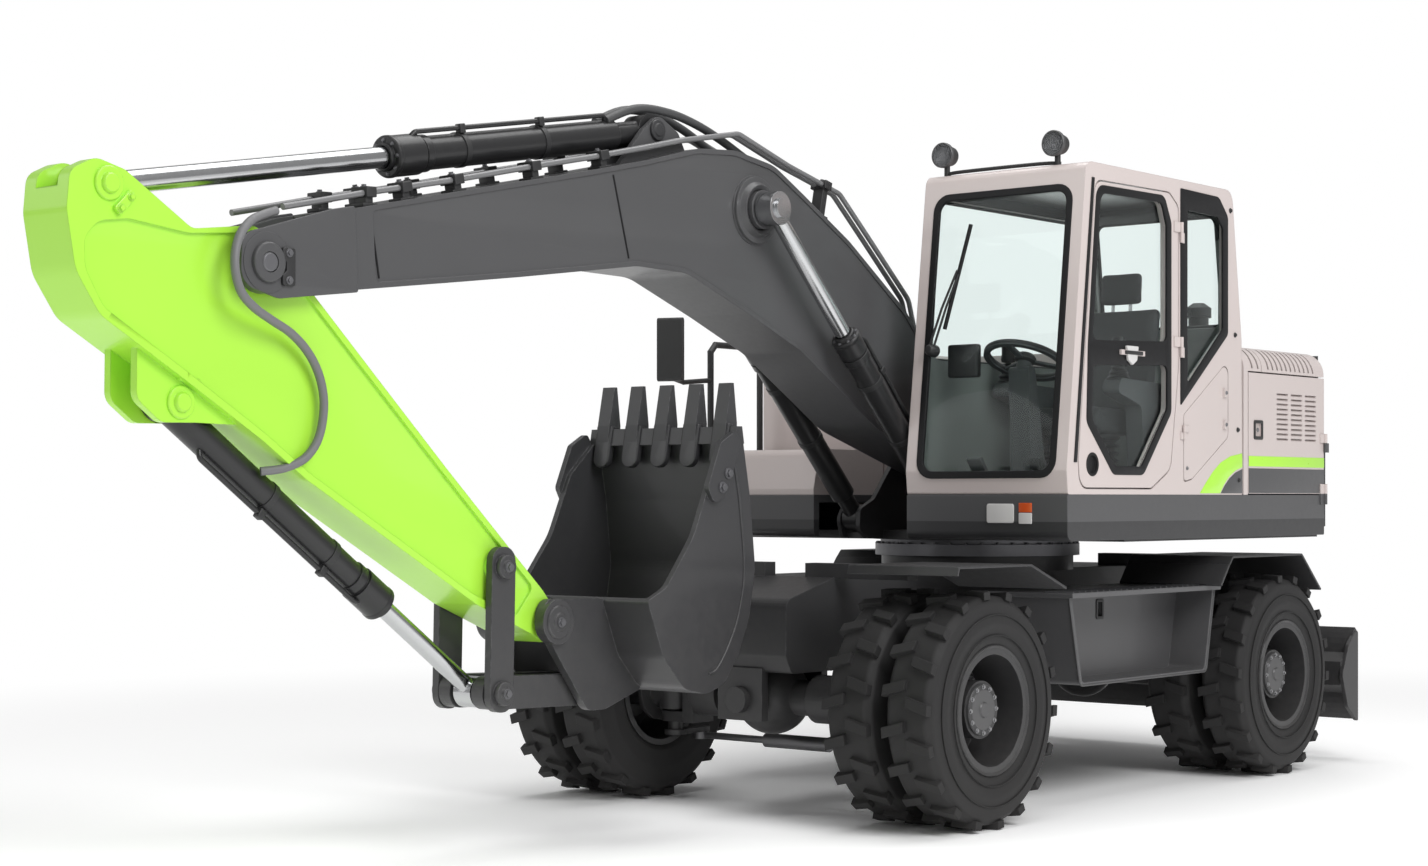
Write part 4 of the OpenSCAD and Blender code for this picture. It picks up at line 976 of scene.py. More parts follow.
@dataclass
class CabTrim:
    """Seals, wiper, lamps and fittings of the cab."""
    finish: Palette
    screen_line: Corners = ((0.415, 0.006, 0.084), (0.415, 1.379, 0.084), (1.187, 1.379, 0.084), (1.187, 0.006, 0.084))
    screen_hole: Corners = ((0.449, 0.040, 0.055), (0.449, 1.345, 0.055), (1.153, 1.345, 0.055), (1.153, 0.040, 0.055))
    door_line: Corners = (
        (0.893, 2.908, 0.07), (0.258, 2.917, 0.06), (0.190, 2.790, 0.06), (0.190, 1.868, 0.06), (0.462, 1.563, 0.06),
        (0.742, 1.563, 0.06), (0.985, 1.803, 0.06), (0.972, 2.160, 0.03))
    pane_top: Corners = (
        (0.858, 2.870, 0.055), (0.280, 2.880, 0.045), (0.234, 2.772, 0.045), (0.234, 2.212, 0.035),
        (0.931, 2.185, 0.035))
    pane_low: Corners = (
        (0.926, 2.070, 0.035), (0.229, 2.096, 0.035), (0.229, 1.886, 0.055), (0.476, 1.604, 0.045),
        (0.729, 1.604, 0.055), (0.936, 1.822, 0.055))
    quarter_line: Corners = (
        (0.098, 2.968, 0.008), (-0.296, 2.962, 0.06), (-0.392, 2.872, 0.05), (-0.392, 2.276, 0.04),
        (0.098, 1.904, 0.006))
    quarter_hole: Corners = (
        (0.030, 2.866, 0.02), (-0.280, 2.862, 0.03), (-0.340, 2.810, 0.03), (-0.340, 2.302, 0.03),
        (0.030, 2.008, 0.015))
    pillar_line: Outline = ((0.914, 2.936), (1.071, 1.618), (1.096, 1.618), (0.936, 2.936))
    side_window: Corners = ((0.930, 2.900, 0.06), (-0.360, 2.900, 0.06), (-0.420, 2.120, 0.06), (1.000, 2.120, 0.06))
    rear_window: Corners = ((0.447, 2.330, 0.05), (0.447, 2.890, 0.05), (1.155, 2.890, 0.05), (1.155, 2.330, 0.05))
    rear_foot: Flat = (-0.542, 2.26)
    rear_lean: float = 0.137
    lamp_places: tuple[Point, ...] = ((0.959, 0.430, 3.108), (0.959, 1.050, 3.108))
    swoosh_lime: Outline = (
        (-0.100, 1.478), (-0.160, 1.528), (-0.235, 1.585), (-0.316, 1.632), (-0.420, 1.665), (-0.546, 1.682),
        (-0.549, 1.612), (-0.470, 1.592), (-0.405, 1.562), (-0.350, 1.520), (-0.310, 1.478))
    swoosh_grey: Outline = (
        (-0.318, 1.478), (-0.358, 1.516), (-0.411, 1.554), (-0.474, 1.583), (-0.549, 1.602), (-0.550, 1.478))

    def build(self) -> None:
        """Makes every piece of the cab."""
        self.seals()
        self.wiper()
        self.lamps()
        self.fittings()
        self.inside()

    def seals(self) -> None:
        """Rubber surrounds of the panes."""
        f = self.finish
        sunk = side_plane(BODY_HALF - 0.008)
        for name, lines, thick, bevel, place, body in (
                ("windscreen_seal", (self.screen_line, self.screen_hole), 0.019, 0.003,
                 SCREEN @ Matrix.Translation((0, 0, -0.0105)), "upper"),
                ("door_seal", (self.door_line, self.pane_top, self.pane_low), 0.012, 0.002, sunk, "cab_door"),
                ("quarter_seal", (self.quarter_line, self.quarter_hole), 0.012, 0.002, sunk, "upper")):
            plate(name, [rounded(line) for line in lines], thick, bevel, place, body, f.rubber, "trim_black")
        plate("pillar_seal", [self.pillar_line], 0.005, 0.001, side_plane(BODY_HALF - 0.0005), "upper", f.rubber,
              "trim_black")
        right = [(x, CAB_RIGHT - 0.002, z) for x, z in rounded(self.side_window, 8)]
        x0, z0 = self.rear_foot
        rear = [(x0 + (z - z0) * self.rear_lean, y, z) for y, z in rounded(self.rear_window, 8)]
        for name, line in (("side_window_seal", right), ("rear_window_seal", rear)):
            strand(name, [line], 0.013, "upper", f.rubber, True)

    def wiper(self) -> None:
        """Wiper at the right edge of the windscreen."""
        f = self.finish
        arms = (((0.462, 0.64, 0.030), (0.520, 0.82, 0.034), (0.588, 1.00, 0.026)),
                ((0.480, 0.62, 0.028), (0.540, 0.82, 0.030), (0.594, 0.98, 0.024)))
        blade = ((0.530, 0.72, 0.014), (0.590, 0.98, 0.018), (0.640, 1.22, 0.014))
        motor = ((0, 0.05), (0.018, 0.048), (0.026, 0.036), (0.030, 0.0), (0.030, -0.012), (0, -0.012))
        strand("wiper_arm", [[SCREEN @ Vector(p) for p in arm] for arm in arms], 0.006, "upper", f.plastic)
        strand("wiper_blade", [[SCREEN @ Vector(p) for p in blade]], 0.010, "upper", f.rubber)
        turned("wiper_motor", motor, tuple(SCREEN @ Vector((0.468, 0.62, 0.004))),
               tuple(SCREEN.to_3x3() @ Vector(UP)), "upper", f.plastic)

    def lamps(self) -> None:
        """Bowls and lenses of the roof lamps, the roof's rail and its seams."""
        f = self.finish
        bowl = ((0, 0.001), (0.050, 0.001), (0.058, 0.004), (0.061, 0.0), (0.061, -0.014), (0.056, -0.014))
        lens = ((0, 0.013), (0.022, 0.011), (0.040, 0.007), (0.052, 0.0025), (0, 0.0025))
        for k, centre in enumerate(self.lamp_places):
            turned(f"lamp_bowl_{k}", bowl, centre, FORWARD, "upper", f.hub)
            turned(f"lamp_lens_{k}", lens, centre, FORWARD, "upper", f.lens)
        rail = ((0.900, 0.42, 3.018), (0.930, 0.52, 3.022), (0.930, 0.96, 3.022), (0.900, 1.06, 3.018))
        strand("roof_rail", [smooth_path(rail)], 0.009, "upper", f.plastic)
        seams = [[(x, y, 3.010) for x in (0.86, -0.36)] for y in (0.40, 1.20)]
        strand("roof_seam", seams, 0.006, "upper", f.rubber)

    def fittings(self) -> None:
        """Door latch, round recess, hatch screws and the swoosh at the rear corner."""
        f = self.finish
        recess = ((0, 0.001), (0.040, 0.001), (0.043, 0.006), (0.043, 0.013), (0.055, 0.014), (0.056, 0.010),
                  (0.052, 0.008))
        turned("door_ring", recess, (0.930, BODY_HALF - 0.012, 1.610), LEFTWARD, "cab_door", f.rubber)
        grip = ((0.535, 2.172), (0.645, 2.172), (0.630, 2.105), (0.590, 2.082), (0.550, 2.105))
        plate("door_grip", [rounded([(x, z, 0.006) for x, z in grip])], 0.014, 0.003, side_plane(BODY_HALF + 0.006),
              "cab_door", f.pale)
        lever = rounded_box("door_lever", (0.500, BODY_HALF + 0.014, 2.131), (0.660, BODY_HALF + 0.024, 2.149), 0.003)
        keep("door_lever", lever, "cab_door", f.plastic)
        hatch = ((-0.356, BODY_HALF + 0.012, 1.823), (-0.356, BODY_HALF + 0.012, 1.983), (0.030, BODY_HALF, 1.60))
        bolts("hatch_screws", [(p, LEFTWARD) for p in hatch], 0.007, "cab_hatch", f.zinc)
        shell = ((-0.420, 2.905), (-0.470, 2.28), (-0.500, 1.80), (-0.510, 1.545))
        bolts("cab_screws", [((x, BODY_HALF, z), LEFTWARD) for x, z in shell], 0.009, "upper", f.plastic)
        flat = side_plane(BODY_HALF + STRIPE_LIFT)
        plate("corner_swoosh_lime", [self.swoosh_lime], *STRIPE, flat, "upper", f.lime, "arm_green")
        plate("corner_swoosh_grey", [self.swoosh_grey], *STRIPE, flat, "upper", f.band, "body_grey")

    def inside(self) -> None:
        """Steering wheel rim, stick grips, screen and mat."""
        f = self.finish
        tilt = Matrix.Translation((0.800, 0.800, 2.110)) @ Matrix.Rotation(math.radians(-24), 4, "Y")
        rim = [tilt @ Vector((u, v, 0.004)) for u, v in ring((0, 0), 0.186, 48)]
        strand("steering_rim", [rim], 0.0165, "upper", f.plastic, True, 14)
        boss = ((0, 0.030), (0.040, 0.026), (0.052, 0.012), (0.052, -0.006), (0.030, -0.02))
        turned("steering_boss", boss, tuple(tilt @ Vector((0, 0, 0.004))), tuple(tilt.to_3x3() @ Vector(UP)), "upper",
               f.plastic)
        grip = ((0, 0.092), (0.024, 0.088), (0.034, 0.070), (0.033, 0.030), (0.038, 0.0), (0.033, -0.012),
                (0.016, -0.016))
        boot = ((0.017, 0.090), (0.030, 0.076), (0.024, 0.066), (0.038, 0.052), (0.032, 0.042), (0.048, 0.026),
                (0.042, 0.016), (0.058, 0.0))
        for k, y in enumerate((0.495, 1.115)):
            turned(f"stick_grip_{k}", grip, (0.470, y, 2.140), UP, "upper", f.rubber)
            turned(f"stick_boot_{k}", boot, (0.470, y, 2.030), UP, "upper", f.rubber)
        monitor = rounded_box("monitor", (0.930, 0.470, 2.030), (0.975, 0.640, 2.190), 0.012)
        keep("monitor", monitor, "upper", f.plastic)
        plate("floor_mat", [panel(0.18, 0.56, 1.06, 1.05, 0.05)], 0.008, 0.003, top_plane(1.521), "upper", f.rubber)


@dataclass
class BodyTrim:
    """Stripes, latches, reflectors, lamps and caps of the upper body."""
    finish: Palette
    door_ends: Flat = (-1.4915, -0.6205)
    front_face: float = 1.1495
    tail_radius: float = 1.957
    lamp_turn: float = 33.0

    def build(self) -> None:
        """Makes every piece of the body."""
        for side in Side:
            self.bay_door(side)
        f = self.finish
        for name, line, tint in (("plaque_blank", panel(0.812, 1.338, 0.960, 1.428, 0.012), f.pale),
                                 ("reflector_orange", panel(0.987, 1.388, 1.057, 1.432, 0.004), f.orange),
                                 ("reflector_pale", panel(0.987, 1.335, 1.057, 1.386, 0.004), f.pale)):
            plate(name, [line], 0.006, 0.002, front_plane(self.front_face), "upper", tint)
        self.tail()

    def bay_door(self, side: Side) -> None:
        """Stripes and latch of one engine bay door.

        Args:
            side: the door's side.
        """
        f, tag, body = self.finish, side.tag, f"{side.tag}_bay_door"
        x0, x1 = self.door_ends
        flat = side_plane(BODY_HALF + STRIPE_LIFT, side)
        stripe, band = panel(x0, 1.617, x1, 1.670, 0.002, 2), panel(x0, 1.480, x1, 1.607, 0.002, 2)
        plate(f"stripe_lime_{tag}", [stripe], *STRIPE, flat, body, f.lime, "arm_green")
        plate(f"stripe_grey_{tag}", [band], *STRIPE, flat, body, f.band, "body_grey")
        rim, well = panel(-0.775, 1.755, -0.675, 1.855, 0.012), panel(-0.758, 1.772, -0.692, 1.838, 0.006)
        plate(f"latch_frame_{tag}", [rim, well], 0.006, 0.002, side_plane(BODY_HALF - 0.001, side), body, f.plastic)
        key = ((0, 0.005), (0.010, 0.005), (0.012, 0.0), (0.012, -0.004))
        turned(f"latch_key_{tag}", key, (-0.725, side.value * (BODY_HALF - 0.004), 1.805), side.out, body, f.zinc,
               turns=24)

    def tail(self) -> None:
        """Lamps on the counterweight and the cap on the tank."""
        f = self.finish
        lamp = ((0, 0.016), (0.024, 0.014), (0.040, 0.008), (0.046, 0.0), (0.046, -0.01))
        for side in Side:
            angle = math.radians(180 - side.value * self.lamp_turn)
            aim = (math.cos(angle), math.sin(angle), 0)
            x, y = self.tail_radius * aim[0], self.tail_radius * aim[1]
            for k, (z, tint) in enumerate(((1.47, f.red), (1.585, f.orange))):
                turned(f"tail_lamp_{side.tag}_{k}", lamp, (x, y, z), aim, "upper", tint, turns=32)
        cap = ((0, 0.024), (0.040, 0.024), (0.052, 0.018), (0.056, 0.0), (0.056, -0.01))
        turned("filler_cap", cap, (-0.150, -0.840, 2.253), UP, "upper", f.plastic)


@dataclass
class WheelTrim:
    """Nuts, hub covers, side ribs and rim flanges of the wheels."""
    finish: Palette
    axles: dict[str, float] = field(default_factory=lambda: {"front": 1.730, "rear": -1.070})
    middle: float = 0.952
    height: float = 0.526
    cover: Outline = ((0, 0.228), (0.030, 0.228), (0.036, 0.221), (0.088, 0.2205), (0.096, 0.214), (0.110, 0.2185),
                      (0.114, 0.214), (0.114, 0.196))
    flange: Outline = ((0.262, 0.262), (0.276, 0.270), (0.284, 0.276), (0.288, 0.270), (0.284, 0.258), (0.262, 0.252))

    def build(self) -> None:
        """Dresses the four pairs of wheels."""
        for end, x in self.axles.items():
            for side in Side:
                self.dress(f"wheel_{end}_{side.tag}", x, side)

    def dress(self, body: str, x: float, side: Side) -> None:
        """Makes the pieces of one pair.

        Args:
            body: the pair's body.
            x: place of its axle.
            side: side of the machine.
        """
        f, s, out = self.finish, side.value, side.out
        centre = (x, s * self.middle, self.height)

        def circle(radius: float, reach: float, count: int) -> list[Point]:
            """Points round the axle at a distance outwards from the pair's middle."""
            return [(u, s * (self.middle + reach), v) for u, v in ring((x, self.height), radius, count)]

        turned(f"hub_cover_{body}", self.cover, centre, out, body, f.hub, turns=64)
        bolts(f"hub_bolts_{body}", [(p, out) for p in circle(0.101, 0.2175, 12)], 0.008, body, f.zinc)
        bolts(f"wheel_nuts_{body}", [(p, out) for p in circle(0.185, 0.052, 10)], 0.017, body, f.zinc)
        ribs = [circle(radius, 0.2865, 96) for radius in (0.330, 0.420)]
        strand(f"side_ribs_{body}", ribs, 0.0035, body, f.tyre, True, 6)
        turned(f"rim_flange_{body}", self.flange, centre, out, body, f.dark, turns=72)


@dataclass
class ChassisTrim:
    """Bolts, treads and latches of the chassis, a dark sheet of painted shade under each fender, and the blade's edge.
    """
    finish: Palette
    blade_axis: Flat = (-2.330, 0.480)
    # Outline of a dark sheet that is painted shade: it fills the gap under the fender, where there is only the shaded
    # underside.
    flap: Outline = ((-0.436, 1.112), (-0.428, 1.121), (-0.342, 1.018), (-0.351, 1.010))
    box_rim: Corners = ((0.930, 1.000, 0.010), (0.830, 0.575, 0.030), (-0.400, 0.575, 0.030), (-0.490, 1.000, 0.010))

    def build(self) -> None:
        """Makes every piece of the chassis."""
        heads = [((x, y, 1.220), UP) for x, y in ring((0, 0), 0.520, 40)]
        bolts("ring_bolts", heads, 0.009, "chassis", self.finish.steel)
        self.blade_edge()
        for side in Side:
            self.step_box(side)

    def step_box(self, side: Side) -> None:
        """Tread, rim and latch of one step box, and a dark sheet of painted shade in the gap between the box and the
        fender.

        Args:
            side: the box's side.
        """
        f, s, tag = self.finish, side.value, side.tag
        tread = [[(-0.46 + k * 0.055, s * y, 1.014) for y in (0.985, 1.135)] for k in range(26)]
        strand(f"step_tread_{tag}", tread, 0.005, "chassis", f.steel, sides=6)
        # Dark sheet across the gap between the fender and the step box's top: painted shade standing in for the
        # fender's shaded underside, not a real part.
        plate(f"fender_flap_{tag}", [self.flap], 0.584, 0.002, side_plane(0.652, side), "chassis", f.dark,
              "chassis_dark")
        rim = [(x, s * 1.119, z) for x, z in rounded(self.box_rim)]
        strand(f"step_rim_{tag}", [rim], 0.006, "chassis", f.hub, True, 8)
        latch = [panel(0.27, 0.86, 0.34, 0.96, 0.012), panel(0.285, 0.875, 0.325, 0.945, 0.006)]
        plate(f"step_latch_{tag}", latch, 0.006, 0.002, side_plane(0.914, side), "chassis", f.plastic)

    def blade_edge(self) -> None:
        """Cutting edge on the blade's hollow face, with its bolts."""
        f = self.finish

        def at(angle: float, radius: float) -> Flat:
            """Point of the side view about the axis of the blade's curve."""
            turn = math.radians(angle)
            return (self.blade_axis[0] + radius * math.cos(turn), self.blade_axis[1] + radius * math.sin(turn))

        strip = [at(-36.6 + k * 1.9, 0.400) for k in range(8)] + [at(-23.3 - k * 1.9, 0.384) for k in range(8)]
        plate("cutting_edge", [strip], 2.38, 0.002, side_plane(-1.19), "blade", f.steel, "bare_steel")
        x, z = at(-30.0, 0.384)
        turn = math.radians(150.0)
        heads = [((x, y / 100, z), (math.cos(turn), 0.0, math.sin(turn))) for y in range(-108, 109, 24)]
        bolts("cutting_edge_bolts", heads, 0.014, "blade", f.steel)


def node_copy(node: str) -> bpy.types.Object:
    """Merged copy of a CAD node's mesh as a loose object, to be worked on.

    Args:
        node: the CAD node.
    Returns:
        the copy.
    """
    bm = bmesh.new()
    bm.from_mesh(frame["nodes"][node].data)
    bmesh.ops.remove_doubles(bm, verts=bm.verts, dist=2e-5)
    mesh = bpy.data.meshes.new(node + "_dressed")
    bm.to_mesh(mesh)
    bm.free()
    obj = bpy.data.objects.new(node + "_dressed", mesh)
    bpy.context.scene.collection.objects.link(obj)
    return obj


def carve(obj: bpy.types.Object, cutters: Sequence[bpy.types.Mesh]) -> bpy.types.Mesh:
    """Cuts meshes out of an object.

    Args:
        obj: the object, removed here.
        cutters: closed meshes to take away, removed here.
    Returns:
        what is left, as a plain mesh.
    """
    tools = []
    for k, mesh in enumerate(cutters):
        tool = bpy.data.objects.new(f"cutter_{k}", mesh)
        bpy.context.scene.collection.objects.link(tool)
        tools.append(tool)
        mod = obj.modifiers.new(f"cut_{k}", "BOOLEAN")
        mod.operation, mod.solver, mod.object = "DIFFERENCE", "EXACT", tool
    made = evaluated(obj)
    for item in (obj, *tools):
        old = item.data
        bpy.data.objects.remove(item)
        bpy.data.meshes.remove(old)
    bm = bmesh.new()
    bm.from_mesh(made)
    bpy.data.meshes.remove(made)
    return from_bmesh("carved", bm, sharp=28.0)


@dataclass
class Seat:
    """Driver's seat: three foam pads in fabric on a bellows stand."""
    finish: Palette
    pads: tuple[tuple[str, Corners, float, float], ...] = (
        ("seat_cushion", ((0.072, 1.772, 0.03), (0.072, 1.880, 0.04), (0.520, 1.888, 0.045), (0.546, 1.802, 0.035),
                          (0.494, 1.772, 0.02)), 0.568, 1.032),
        ("seat_back", ((0.044, 1.900, 0.02), (-0.070, 2.408, 0.034), (-0.140, 2.408, 0.030), (-0.056, 1.846, 0.03),
                       (0.044, 1.846, 0.02)), 0.582, 1.018),
        ("seat_headrest", ((-0.070, 2.434, 0.02), (-0.084, 2.588, 0.024), (-0.136, 2.588, 0.024),
                           (-0.130, 2.434, 0.02)), 0.692, 0.908))
    voxel: float = 0.007
    pressure: float = 4.0
    frames: int = 20
    most_swell: float = 0.010

    def build(self) -> None:
        """Makes the pads and the stand."""
        f = self.finish
        for name, line, y0, y1 in self.pads:
            mesh = plate_mesh(name, [rounded(line)], y1 - y0, 0.016, side_plane(y0))
            obj = keep(name, self.inflate(mesh), "upper", f.fabric)
            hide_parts("seat")
        folds = [(0.0, 1.521), (0.200, 1.521)]
        for k in range(6):
            z = 1.530 + k * 0.036
            folds += [(0.196, z), (0.172, z + 0.018)]
        folds += [(0.200, 1.748), (0.200, 1.764), (0.0, 1.764)]
        stand = lathe_mesh("seat_stand", folds, (0.0, 0.0, 0.0), UP, 48)
        stand.transform(Matrix.Translation((0.310, 0.800, 0)))
        keep("seat_stand", stand, "upper", f.plastic)
        posts = [[(-0.105, y, 2.396), (-0.108, y, 2.446)] for y in (0.750, 0.850)]
        strand("headrest_posts", posts, 0.009, "upper", f.chrome)

    def inflate(self, mesh: bpy.types.Mesh) -> bpy.types.Mesh:
        """Swells a pad a little, as stuffed fabric does.

        Args:
            mesh: the pad's plain form, removed here.
        Returns:
            the swollen mesh.
        """
        obj = bpy.data.objects.new("pad", mesh)
        scene = bpy.context.scene
        scene.collection.objects.link(obj)
        remesh = obj.modifiers.new("voxels", "REMESH")
        remesh.mode, remesh.voxel_size = "VOXEL", self.voxel
        start = evaluated(obj)
        obj.modifiers.clear()
        obj.data = start
        before = [v.co.copy() for v in start.vertices]
        cloth = obj.modifiers.new("foam", "CLOTH")
        cloth.settings.use_pressure = True
        cloth.settings.uniform_pressure_force = self.pressure
        cloth.settings.effector_weights.gravity = 0.0
        cloth.point_cache.frame_start, cloth.point_cache.frame_end = 1, self.frames
        for number in range(1, self.frames + 1):
            scene.frame_set(number)
        swollen = bpy.data.meshes.new_from_object(obj.evaluated_get(bpy.context.evaluated_depsgraph_get()))
        for v, old in zip(swollen.vertices, before):
            move = v.co - old
            if move.length > self.most_swell:
                v.co = old + move.normalized() * self.most_swell
        scene.frame_set(1)
        bpy.data.objects.remove(obj)
        bpy.data.meshes.remove(start)
        bpy.data.meshes.remove(mesh)
        swollen.shade_smooth()
        return swollen


@dataclass
class Boom:
    """Boom with its flange edges, tip plates, pipes, clamps and hoses."""
    finish: Palette
    half: float = 0.172
    sink: float = 0.007
    web: Corners = (
        (0.105, 0.0010, 0.05), (0.1843, 0.0070, 0.5), (0.2492, 0.0330, 0.3), (0.3239, 0.0627, 0.3), (0.41, 0.0827, 0.3),
        (0.505, 0.1020, 0.3), (0.575, 0.0937, 0.26), (0.7227, 0.0521, 0.0), (0.886, 0.0083, 0.02),
        (0.897, 0.0650, 0.02), (0.7923, 0.1033, 0.0), (0.649, 0.1553, 0.3), (0.575, 0.1833, 0.35),
        (0.505, 0.2122, 0.35), (0.45, 0.2240, 0.3), (0.39, 0.2240, 0.3), (0.34, 0.2072, 0.35), (0.2583, 0.1782, 0.3),
        (0.1519, 0.1280, 0.3), (0.095, 0.0860, 0.05))
    tip_plate: Corners = (
        (0.9050, -0.0040, 0.01), (0.9850, -0.0255, 0.08), (1.0240, -0.0215, 0.075), (1.0270, 0.0170, 0.06),
        (0.9413, 0.0560, 0.04), (0.9180, 0.0640, 0.01))
    pipe_run: Outline = (
        (0.1240, 0.1160), (0.1403, 0.1471), (0.2137, 0.1921), (0.2749, 0.2290), (0.361, 0.2365), (0.4419, 0.2480),
        (0.5206, 0.2215), (0.575, 0.2000), (0.6273, 0.1800), (0.7144, 0.1480), (0.8049, 0.1139), (0.9000, 0.0800))
    outer_tail: Outline = ((0.9467, 0.0622), (0.985, 0.0480))
    top_edge: Outline = (
        (0.1519, 0.1335), (0.2583, 0.1830), (0.34, 0.2120), (0.39, 0.2290), (0.45, 0.2290), (0.505, 0.2170),
        (0.575, 0.1880), (0.649, 0.1600), (0.7923, 0.1080), (0.9413, 0.0535))
    clamp_places: tuple[float, ...] = (0.300, 0.630, 0.7150, 0.8049, 0.862, 0.900)
    keeper: Corners = (
        (-0.030, -0.070, 0.010), (0.030, -0.070, 0.010), (0.030, -0.030, 0.006), (0.012, -0.016, 0.006),
        (0.012, 0.016, 0.006), (0.030, 0.030, 0.006), (0.030, 0.070, 0.010), (-0.030, 0.070, 0.010))
    knee: tuple[Point, ...] = (
        (2.935, 0.030, 3.076), (2.868, 0.032, 3.106), (2.798, 0.034, 3.134), (2.718, 0.036, 3.154),
        (2.620, 0.040, 3.160), (2.480, 0.046, 3.150), (2.330, 0.054, 3.118), (2.190, 0.062, 3.072),
        (2.060, 0.066, 3.022), (1.930, 0.068, 2.970), (1.830, 0.070, 2.915), (1.795, 0.070, 2.890))

    def build(self) -> None:
        """Makes the boom's own pieces."""
        self.skin()
        self.pipes()
        self.clamps()
        self.marks()
        self.hoses()

    @staticmethod
    def height_at(along: float, line: Outline) -> float:
        """Height of a line over the boom at a place along it.

        Args:
            along: share of the boom's length.
            line: points of the line.
        Returns:
            share of the boom's length, square to it.
        """
        for (a, p), (b, q) in zip(line, line[1:]):
            if a <= along <= b:
                return p + (q - p) * (along - a) / (b - a)
        return line[-1][1]

    def skin(self) -> None:
        """Boom with its side webs set back between the flange edges, and plates at the tip."""
        f = self.finish
        outline = rounded([(*on_boom(a, b), r) for a, b, r in self.web], 8)
        pockets = [plate_mesh("pocket", [outline, ring(LIFT_PIN, 0.158, 40)], 0.1, 0.0001,
                              side_plane(self.half - self.sink, side)) for side in Side]
        skin = keep("boom_skin", carve(node_copy("boom"), pockets), "boom", f.grey)
        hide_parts("boom")
        tip = rounded([(*on_boom(a, b), r) for a, b, r in self.tip_plate], 8)
        for side in Side:
            plate(f"boom_tip_plate_{side.tag}", [tip, ring(BOOM_TIP, 0.0375, 40)], 0.011, 0.003,
                  side_plane(self.half - 0.001, side), "boom", f.grey, "body_grey")

    def pipes(self) -> None:
        """Steel pipes that stand over the boom. The outer pair runs on to the tip."""
        lines = []
        for y, tail in ((-0.146, self.outer_tail), (-0.106, ()), (0.106, ()), (0.146, self.outer_tail)):
            run = [on_boom(a, b) for a, b in (*self.pipe_run, *tail)]
            lines.append(bent_path([(x, y, z) for x, z in run], 0.09))
        pipes = strand("boom_pipe_runs", lines, 0.0125, "boom", self.finish.pipe, sides=14)
        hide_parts("boom_pipes")

    def clamps(self) -> None:
        """Clamps that hold the pipes over the boom, with their bolts."""
        f = self.finish
        boxes: list[bpy.types.Mesh] = []
        heads: list[tuple[Point, Point]] = []
        for along in self.clamp_places:
            low, high = self.height_at(along, self.top_edge), self.height_at(along, self.pipe_run)
            rise = self.height_at(along + 0.01, self.pipe_run) - self.height_at(along - 0.01, self.pipe_run)
            slope = math.atan2(BOOM_AIM[1], BOOM_AIM[0]) + math.atan(rise / 0.02)
            (x, z), lift = on_boom(along, high), (high - low) * BOOM_LENGTH
            saddle = ((-0.026, -0.045, -0.019), (0.026, 0.045, 0.021))
            foot = ((-0.038, -0.036, -lift - 0.004), (0.038, 0.036, -lift + 0.012))
            post = ((-0.019, -0.030, -lift), (0.019, 0.030, -0.017))
            for side in Side:
                place = Matrix.Translation((x, side.value * 0.126, z)) @ Matrix.Rotation(-slope, 4, "Y")
                for corners in (saddle, foot, post):
                    box = rounded_box("clamp", *corners, 0.004)
                    box.transform(place)
                    boxes.append(box)
                heads.append((tuple(place @ Vector((0, 0, 0.022))), tuple(place.to_3x3() @ Vector(UP))))
        keep("pipe_clamps", merged("pipe_clamps", boxes), "boom", f.plastic)
        bolts("pipe_clamp_bolts", heads, 0.010, "boom", f.steel)

    def marks(self) -> None:
        """Seam welds across the webs, boss rings, pin ends and the keepers at the tip."""
        f = self.finish
        seams = []
        for ends in (((0.898, 0.0612), (0.882, 0.0125)), ((0.6166, 0.1640), (0.5855, 0.0940))):
            for s in (-1, 1):
                seams.append([(x, s * (self.half - 0.0062), z) for x, z in (on_boom(*end) for end in ends)])
        strand("boom_seams", seams, 0.0042, "boom", f.rubber, sides=8)
        tip_boss = ((0.0376, 0.0), (0.0376, 0.016), (0.068, 0.016), (0.073, 0.012), (0.076, 0.0))
        lift_boss = ((0.088, 0.0), (0.092, 0.018), (0.112, 0.030), (0.118, 0.018), (0.128, 0.004), (0.150, 0.003),
                     (0.152, -0.004))
        pin_end = ((0, 0.010), (0.026, 0.010), (0.030, 0.005), (0.044, 0.005), (0.047, 0.0), (0.047, -0.006))
        x, z = on_boom(0.9805, 0.0005)
        keeper = rounded([(x + u, z + v, r) for u, v, r in self.keeper])
        heads: list[tuple[Point, Point]] = []
        for side in Side:
            s, tag, out = side.value, side.tag, side.out
            turned(f"tip_boss_{tag}", tip_boss, (BOOM_TIP[0], s * 0.184, BOOM_TIP[1]), out, "boom", f.grey)
            plate(f"tip_keeper_{tag}", [keeper], 0.014, 0.003, side_plane(0.1815, side), "boom", f.plastic)
            heads += [((x, s * 0.1955, z + d), out) for d in (-0.050, 0.050)]
            turned(f"cylinder_boss_{tag}", lift_boss, (LIFT_PIN[0], s * (self.half + 0.012), LIFT_PIN[1]), out, "boom",
                   f.grey, 64)
        bolts("tip_keeper_bolts", heads, 0.011, "boom", f.steel)
        for side in Side:
            centre = (ARM_CYLINDER_PIN[0], side.value * 0.096, ARM_CYLINDER_PIN[1])
            turned(f"arm_cylinder_pin_{side.tag}", pin_end, centre, side.out, "boom", f.dark)

    def hoses(self) -> None:
        """Hose pair over the knee from the arm cylinder's port to the pipes."""
        for side in Side:
            path = smooth_path([(x, side.value * y, z) for x, y, z in self.knee], 5)
            hose = strand(f"knee_hose_{side.tag}", [path], 0.019, "boom", self.finish.hose, sides=16)


